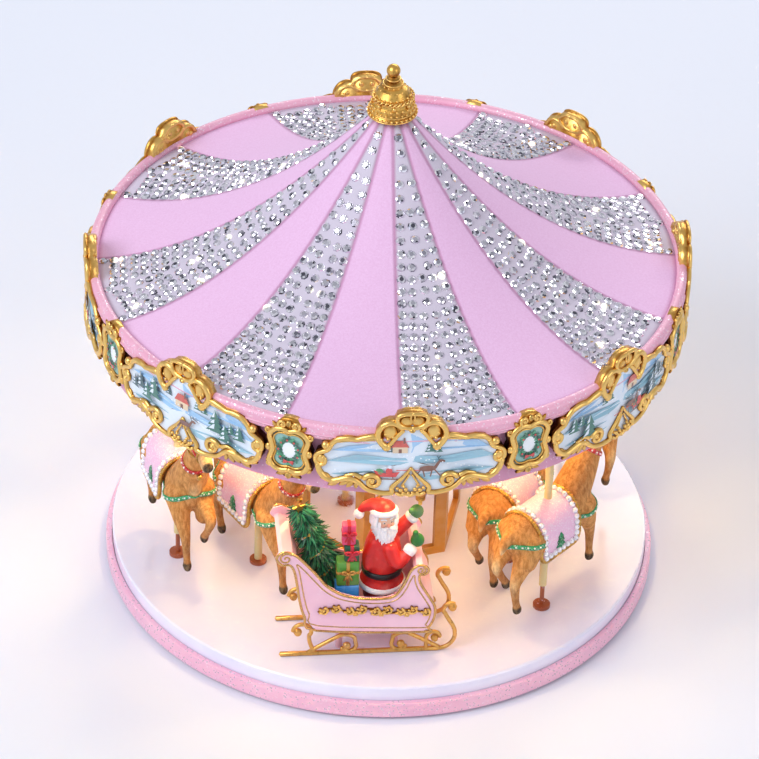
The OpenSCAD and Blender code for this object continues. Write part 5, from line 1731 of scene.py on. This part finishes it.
# %% Garland and star
garland = []
for k in range(120):
    t = k / 119
    climb = 0.15 + 2.75 * t
    level = math.floor(climb)
    size = (9.9 - 1.7 * level) * (1 - (climb - level) * TIER_FALL) + 1.2
    a = t * math.tau * 3.2 + 0.8
    garland.append((size * math.cos(a), size * math.sin(a), 7 + climb * 15 - 1.2))
tree.add(*sweep(garland, 0.34, 6), paint=srgb(214, 170, 84)[:3], relief=1.0)
for k, p in enumerate(spaced(garland, 4.6, False)):
    bright = srgb(228, 186, 92)[:3] if k % 2 else srgb(236, 226, 214)[:3]
    tree.add(*pebble(p, 0.85, 5, 8), paint=bright, relief=1.0)
star = []
for k in range(10):
    a = math.tau * k / 10 + math.pi / 2
    size = 3.6 if k % 2 == 0 else 1.5
    star.append((size * math.cos(a), size * math.sin(a)))
points, faces = plate(star, -0.7, 0.7, 0.35, (0, 0))
tree.add([(x, z, 55.6 + y) for x, y, z in points], faces, paint=srgb(214, 168, 82)[:3], relief=1.0)
Clay().join(tree, on_tree).fire("christmas_fir", "turntable", needle.material, smooth=False,
                                replaces=["fir_tree"], slot="fir")

# %% Parcels with ribbons and bows
def soft_box(low, high, edge):
    work = bmesh.new()
    bmesh.ops.create_cube(work, size=1)
    middle = [(a + b) / 2 for a, b in zip(low, high)]
    for v in work.verts:
        v.co = Vector([m + c * (b - a) for m, c, a, b in zip(middle, v.co, low, high)])
    bmesh.ops.bevel(work, geom=work.edges[:], offset=edge, segments=2, profile=0.5,
                    affect="EDGES")
    work.verts.index_update()
    points = [tuple(v.co) for v in work.verts]
    faces = [tuple(v.index for v in f.verts) for f in work.faces]
    work.free()
    return points, faces


parcels = Clay()
PARCELS = [(-4.8, 12.2, 7.8, 23.8, 17.4, srgb(50, 150, 226)[:3], srgb(50, 150, 226)[:3]),
           (-4.6, 11.6, 7.2, 41.4, 14.8, srgb(84, 150, 54)[:3], srgb(206, 160, 84)[:3]),
           (-2.8, 7.8, 6.6, 56.4, 9.6, srgb(22, 84, 58)[:3], srgb(196, 30, 52)[:3]),
           (-4.4, 7.2, 5.0, 66.2, 12.4, srgb(222, 78, 122)[:3], srgb(196, 26, 48)[:3])]
for x, wide, deep, low, tall, paper, ribbon in PARCELS:
    a = (x - wide / 2 + 0.2, -8.1 - deep / 2 + 0.2, low)
    b = (x + wide / 2 - 0.2, -8.1 + deep / 2 - 0.2, low + tall)
    parcels.add(*soft_box(a, b, 0.7), paint=paper, relief=0.0)
    shine = 1.0 if ribbon[1] > 0.3 and ribbon[0] > 0.5 else 0.0
    band = 0.9
    parcels.add(*soft_box((x - band, a[1] - 0.22, low + 0.2), (x + band, b[1] + 0.22, b[2] + 0.22), 0.2),
                paint=ribbon, relief=shine)
    middle = low + tall * 0.55
    wrap_low = (a[0] - 0.2, a[1] - 0.2, middle - 0.8)
    wrap_high = (b[0] + 0.2, b[1] + 0.2, middle + 0.8)
    parcels.add(*soft_box(wrap_low, wrap_high, 0.2), paint=ribbon, relief=shine)
    for side in (-1, 1):
        loop = smooth_line([(x, a[1] - 0.5, middle), (x + side * 2.0, a[1] - 1.6, middle + 2.2),
                            (x + side * 3.3, a[1] - 1.3, middle + 0.9),
                            (x + side * 1.6, a[1] - 1.0, middle - 0.2), (x, a[1] - 0.5, middle)], 4)
        if low > 30:
            parcels.add(*sweep(loop, 0.62, 7), paint=ribbon, relief=shine)
            tail = smooth_line([(x, a[1] - 0.6, middle), (x + side * 1.2, a[1] - 0.9, middle - 2.2),
                                (x + side * 2.0, a[1] - 0.8, middle - 4.0)], 3)
            parcels.add(*sweep(tail, 0.5, 6), paint=ribbon, relief=shine)
    if low > 30:
        parcels.add(*pebble((x, a[1] - 0.9, middle), 1.0, 6, 8), paint=ribbon, relief=shine)
Clay().join(parcels, in_sleigh).fire("wrapped_parcels", "turntable", resin.material,
                                     replaces=["gift_boxes"], slot="parcels")

# %% [markdown]
# ## Finishes for the parts that keep their engineering shape
# Mirrors and their frame, deck, base, rim, rods and all the gear inside are right as they are,
# so they keep their meshes and only get new finishes in their material slots. Each finish has
# its own small story: glitter moulded into the base and the rim, drag marks on turned steel
# and brass, dust on the mirror glass.

# %% Dress a part by putting a finish into its slots
def dress(finish, *names):
    for name in names:
        part = bpy.data.objects[name]
        for place in part.material_slots:
            place.material = finish.material
    print(finish.material.name, "on", ", ".join(names))


def moulded(name, colour, second, rough, glitter=0.0, coat=0.2, grain_scale=240):
    finish = Finish(name, Coat_Weight=coat, Coat_Roughness=0.12, Specular_IOR_Level=0.5)
    cloud = finish.noise(28, 3.0)
    grain = finish.noise(grain_scale, 4.0)
    body = finish.mix(finish.ease(cloud, 0.3, 0.7), colour, second)
    body = finish.mix(finish.ease(grain, 0.55, 0.8) * 0.18, body, (1, 1, 1, 1))
    specks = finish.add("ShaderNodeSeparateColor", None, {0: finish.cells(1500, "Color")}, 0)
    flash = finish.ease(specks, 1 - 0.16 * max(glitter, 0.01), 1.0) * min(glitter * 4, 1)
    body = finish.mix(flash * 0.8, body, srgb(255, 236, 246))
    finish.feed(Base_Color=body, Roughness=rough + grain * 0.1 - flash * 0.15,
                Metallic=flash * 0.6, Normal=finish.bump(grain + flash, 0.00005, 0.5))
    return finish


def turned_metal(name, colour, dark, rough, lines=(40, 40, 900), wear=0.5):
    finish = Finish(name, Metallic=1.0)
    drag = finish.noise(6, 4.0, finish.spot(lines))
    stain = finish.noise(60, 3.0)
    tone = finish.mix(finish.ease(stain, 0.4, 0.75) * wear, colour, dark)
    tone = finish.mix(finish.ease(drag, 0.35, 0.65) * wear * 0.5, tone, srgb(250, 246, 240))
    finish.feed(Base_Color=tone, Roughness=rough + drag * 0.2,
                Normal=finish.bump(drag, 0.00004, 0.5))
    return finish


# Each row: finish, colour, second colour, (roughness, glitter, clear coat), nodes.
MOULDINGS = [
    ("base_pink", (240, 186, 206), (236, 176, 200), (0.32, 0.8), ["base_shell"]),
    ("rim_pink_glitter", (240, 178, 200), (234, 168, 192), (0.4, 0.9), ["roof_rim"]),
    ("fascia_pink", (222, 156, 184), (210, 142, 172), (0.46, 0.3), ["canopy_fascia"]),
    ("roof_underlay", (214, 186, 220), (206, 176, 214), (0.7,), ["roof_shell"]),
    ("glossy_white_deck", (238, 236, 250), (230, 228, 248), (0.14, 0.0, 0.6), ["deck"]),
    ("ceiling_blush", (246, 226, 224), (242, 214, 214), (0.5,), ["ceiling_plate"]),
    ("column_blush", (240, 222, 216), (232, 208, 204), (0.55,), ["column_core"]),
    ("button_white", (240, 238, 244), (232, 230, 238), (0.25,), ["power_button", "volume_knob"]),
    ("black_moulding", (34, 34, 38), (24, 24, 28), (0.5,), ["speaker", "dc_inlet", "brush_block"]),
    ("foot_rubber", (176, 170, 166), (160, 154, 150), (0.85,), ["rubber_feet"]),
    ("acetal_gear", (226, 220, 200), (216, 208, 184), (0.45,),
     ["motor_pinion", "thrust_ring", "crown_gear", "drive_gear"]),
    ("circuit_green", (20, 92, 48), (14, 74, 38), (0.35,), ["circuit_board"]),
    ("ivory_sleeve", (226, 206, 150), (212, 188, 126), (0.36,), ["outer_poles", "inner_poles"]),
    ("copper_paint", (178, 92, 48), (150, 70, 34), (0.34, 0.2), ["guide_rods"]),
]
for name, colour, second, numbers, parts in MOULDINGS:
    dress(moulded(name, srgb(*colour), srgb(*second), *numbers), *parts)
dress(turned_metal("drawn_steel", srgb(196, 196, 200), srgb(150, 148, 150), 0.3), "post_screws",
      "drive_motor", "center_post", "crank_shaft", "crank_bracket", "rocker_brackets",
      "outer_lift_ring", "inner_lift_ring")
dress(turned_metal("plain_brass", srgb(214, 172, 96), srgb(150, 106, 46), 0.28), "slip_ring",
      "pole_bushes", "rocker_arm_1", "rocker_arm_2", "rocker_arm_3")
dress(turned_metal("bronze_paint", srgb(206, 154, 82), srgb(178, 124, 58), 0.3, (12, 12, 12), 0.22),
      "column_frame")

# %% Mirror glass, enamelled sleigh and the cast gold parts
mirror = Finish("mirror_glass", Metallic=1.0)
haze = mirror.noise(18, 3.0)
dust = mirror.noise(420, 4.0)
silvering = mirror.mix(mirror.ease(haze, 0.35, 0.7), srgb(250, 244, 246), srgb(240, 230, 240))
silvering = mirror.mix(mirror.ease(dust, 0.62, 0.8) * 0.3, silvering, srgb(220, 214, 226))
mirror.feed(Base_Color=silvering, Roughness=mirror.ease(dust, 0.4, 0.8, 0.03, 0.16))
dress(mirror, "mirror_panels")

shell = Finish("sleigh_pink_enamel", Coat_Weight=0.7, Coat_Roughness=0.08, Specular_IOR_Level=0.5)
cloud = shell.noise(36, 3.0)
speck = shell.noise(500, 3.0)
pink = shell.mix(shell.ease(cloud, 0.3, 0.7), srgb(246, 198, 214), srgb(240, 186, 206))
pink = shell.mix(shell.ease(speck, 0.6, 0.8) * 0.2, pink, srgb(255, 240, 250))
shell.feed(Base_Color=pink, Roughness=0.26 + speck * 0.1, Normal=shell.bump(speck, 0.00004, 0.5))
dress(shell, "sleigh_body")

cast_gold = Finish("cast_gold", Metallic=1.0)
pitting = cast_gold.noise(520, 4.0)
patina = cast_gold.noise(110, 3.0)
cast_tone = cast_gold.mix(cast_gold.ease(patina, 0.42, 0.72), srgb(232, 184, 96), srgb(150, 96, 38))
cast_tone = cast_gold.mix(cast_gold.ease(pitting, 0.5, 0.3) * 0.5, cast_tone, srgb(110, 62, 24))
cast_gold.feed(Base_Color=cast_tone, Roughness=0.3 + pitting * 0.12,
               Normal=cast_gold.bump(pitting + patina * 0.5, 0.0002, 0.6))
dress(cast_gold, "finial", "hand_bell")

# %% Studs and braid on the bell of the finial
crown_work = Clay()
LIP = 269.0
for count, r, z, size in ((30, 12.0, 1.2, 0.75), (26, 11.2, 3.6, 0.62), (22, 10.6, 5.6, 0.7),
                          (20, 9.5, 8.2, 0.5), (18, 8.9, 11, 0.66), (14, 6.9, 13.9, 0.5),
                          (12, 4.9, 15.6, 0.5)):
    for k in range(count):
        a = math.tau * k / count
        crown_work.add(*pebble((r * math.cos(a), r * math.sin(a), LIP + z), size, 5, 8))
for strand in (0.0, math.pi):
    braid = []
    for k in range(160):
        a = math.tau * k / 160
        wave = a * 14 + strand
        r = 10.0 + 0.55 * math.cos(wave)
        braid.append((r * math.cos(a), r * math.sin(a), LIP + 9.6 + 0.8 * math.sin(wave)))
    crown_work.add(*sweep(braid, 0.42, 6, closed=True))
for r, z in ((12.1, 0.2), (11.0, 2.4), (9.2, 10.0), (4.9, 17.0), (3.6, 19.4)):
    crown_work.add(*sweep(circle(r, LIP + z, 60), 0.36, 6, closed=True))
for k in range(8):
    a = math.tau * k / 8
    crown_work.add(*pebble((10.0 * math.cos(a), 10.0 * math.sin(a), LIP + 7.2), (1.0, 1.0, 1.2), 6, 8))
crown_work.fire("finial_studs", "turntable", gilt.material, slot="gilt")

# %% Two rolled beads round the rim
rim_beads = Clay()
for r, z, size in ((150.0, 180.2, 0.5), (143.6, 152.2, 0.6)):
    rim_beads.add(*sweep(circle(r, z, 256), size, 6, closed=True), paint=srgb(236, 176, 198)[:3], relief=0.0)
rim_beads.fire("rim_piping", "turntable", enamel.material, slot="rim_pink")

# %% Lamps under the ceiling: a glowing finish and six small warm lights
LAMP_RING = 0.098
LAMP_HEIGHT = 0.143
LAMP_START = 44.5 + 22
lamp = Finish("warm_lamp", Coat_Weight=0.3)
lamp_noise = lamp.noise(200, 2.0)
lamp.feed(Base_Color=lamp.mix(lamp_noise, srgb(255, 214, 130), srgb(255, 230, 170)),
          Emission_Color=lamp.mix(lamp_noise, srgb(255, 190, 96), srgb(255, 214, 130)),
          Roughness=0.3 + lamp_noise * 0.1)
lamp.shader.inputs["Emission Strength"].default_value = 5.0
dress(lamp, "ceiling_lamps")
for k in range(6):
    a = math.radians(LAMP_START + 60 * k)
    data = bpy.data.lights.new("ceiling_light", "POINT")
    data.energy = 0.13
    data.color = (1.0, 0.76, 0.3)
    data.shadow_soft_size = 0.006
    light = bpy.data.objects.new("ceiling_light", data)
    bpy.context.collection.objects.link(light)
    light.location = (LAMP_RING * math.sin(a), -LAMP_RING * math.cos(a), LAMP_HEIGHT)

# %% Floor
ground = Finish("studio_floor", Specular_IOR_Level=0.2)
faint = ground.noise(3, 2.0)
ground.feed(Base_Color=ground.mix(faint, srgb(226, 230, 240), srgb(232, 235, 244)),
            Roughness=0.7 + faint * 0.1)
floor_mesh.materials.append(ground.material)
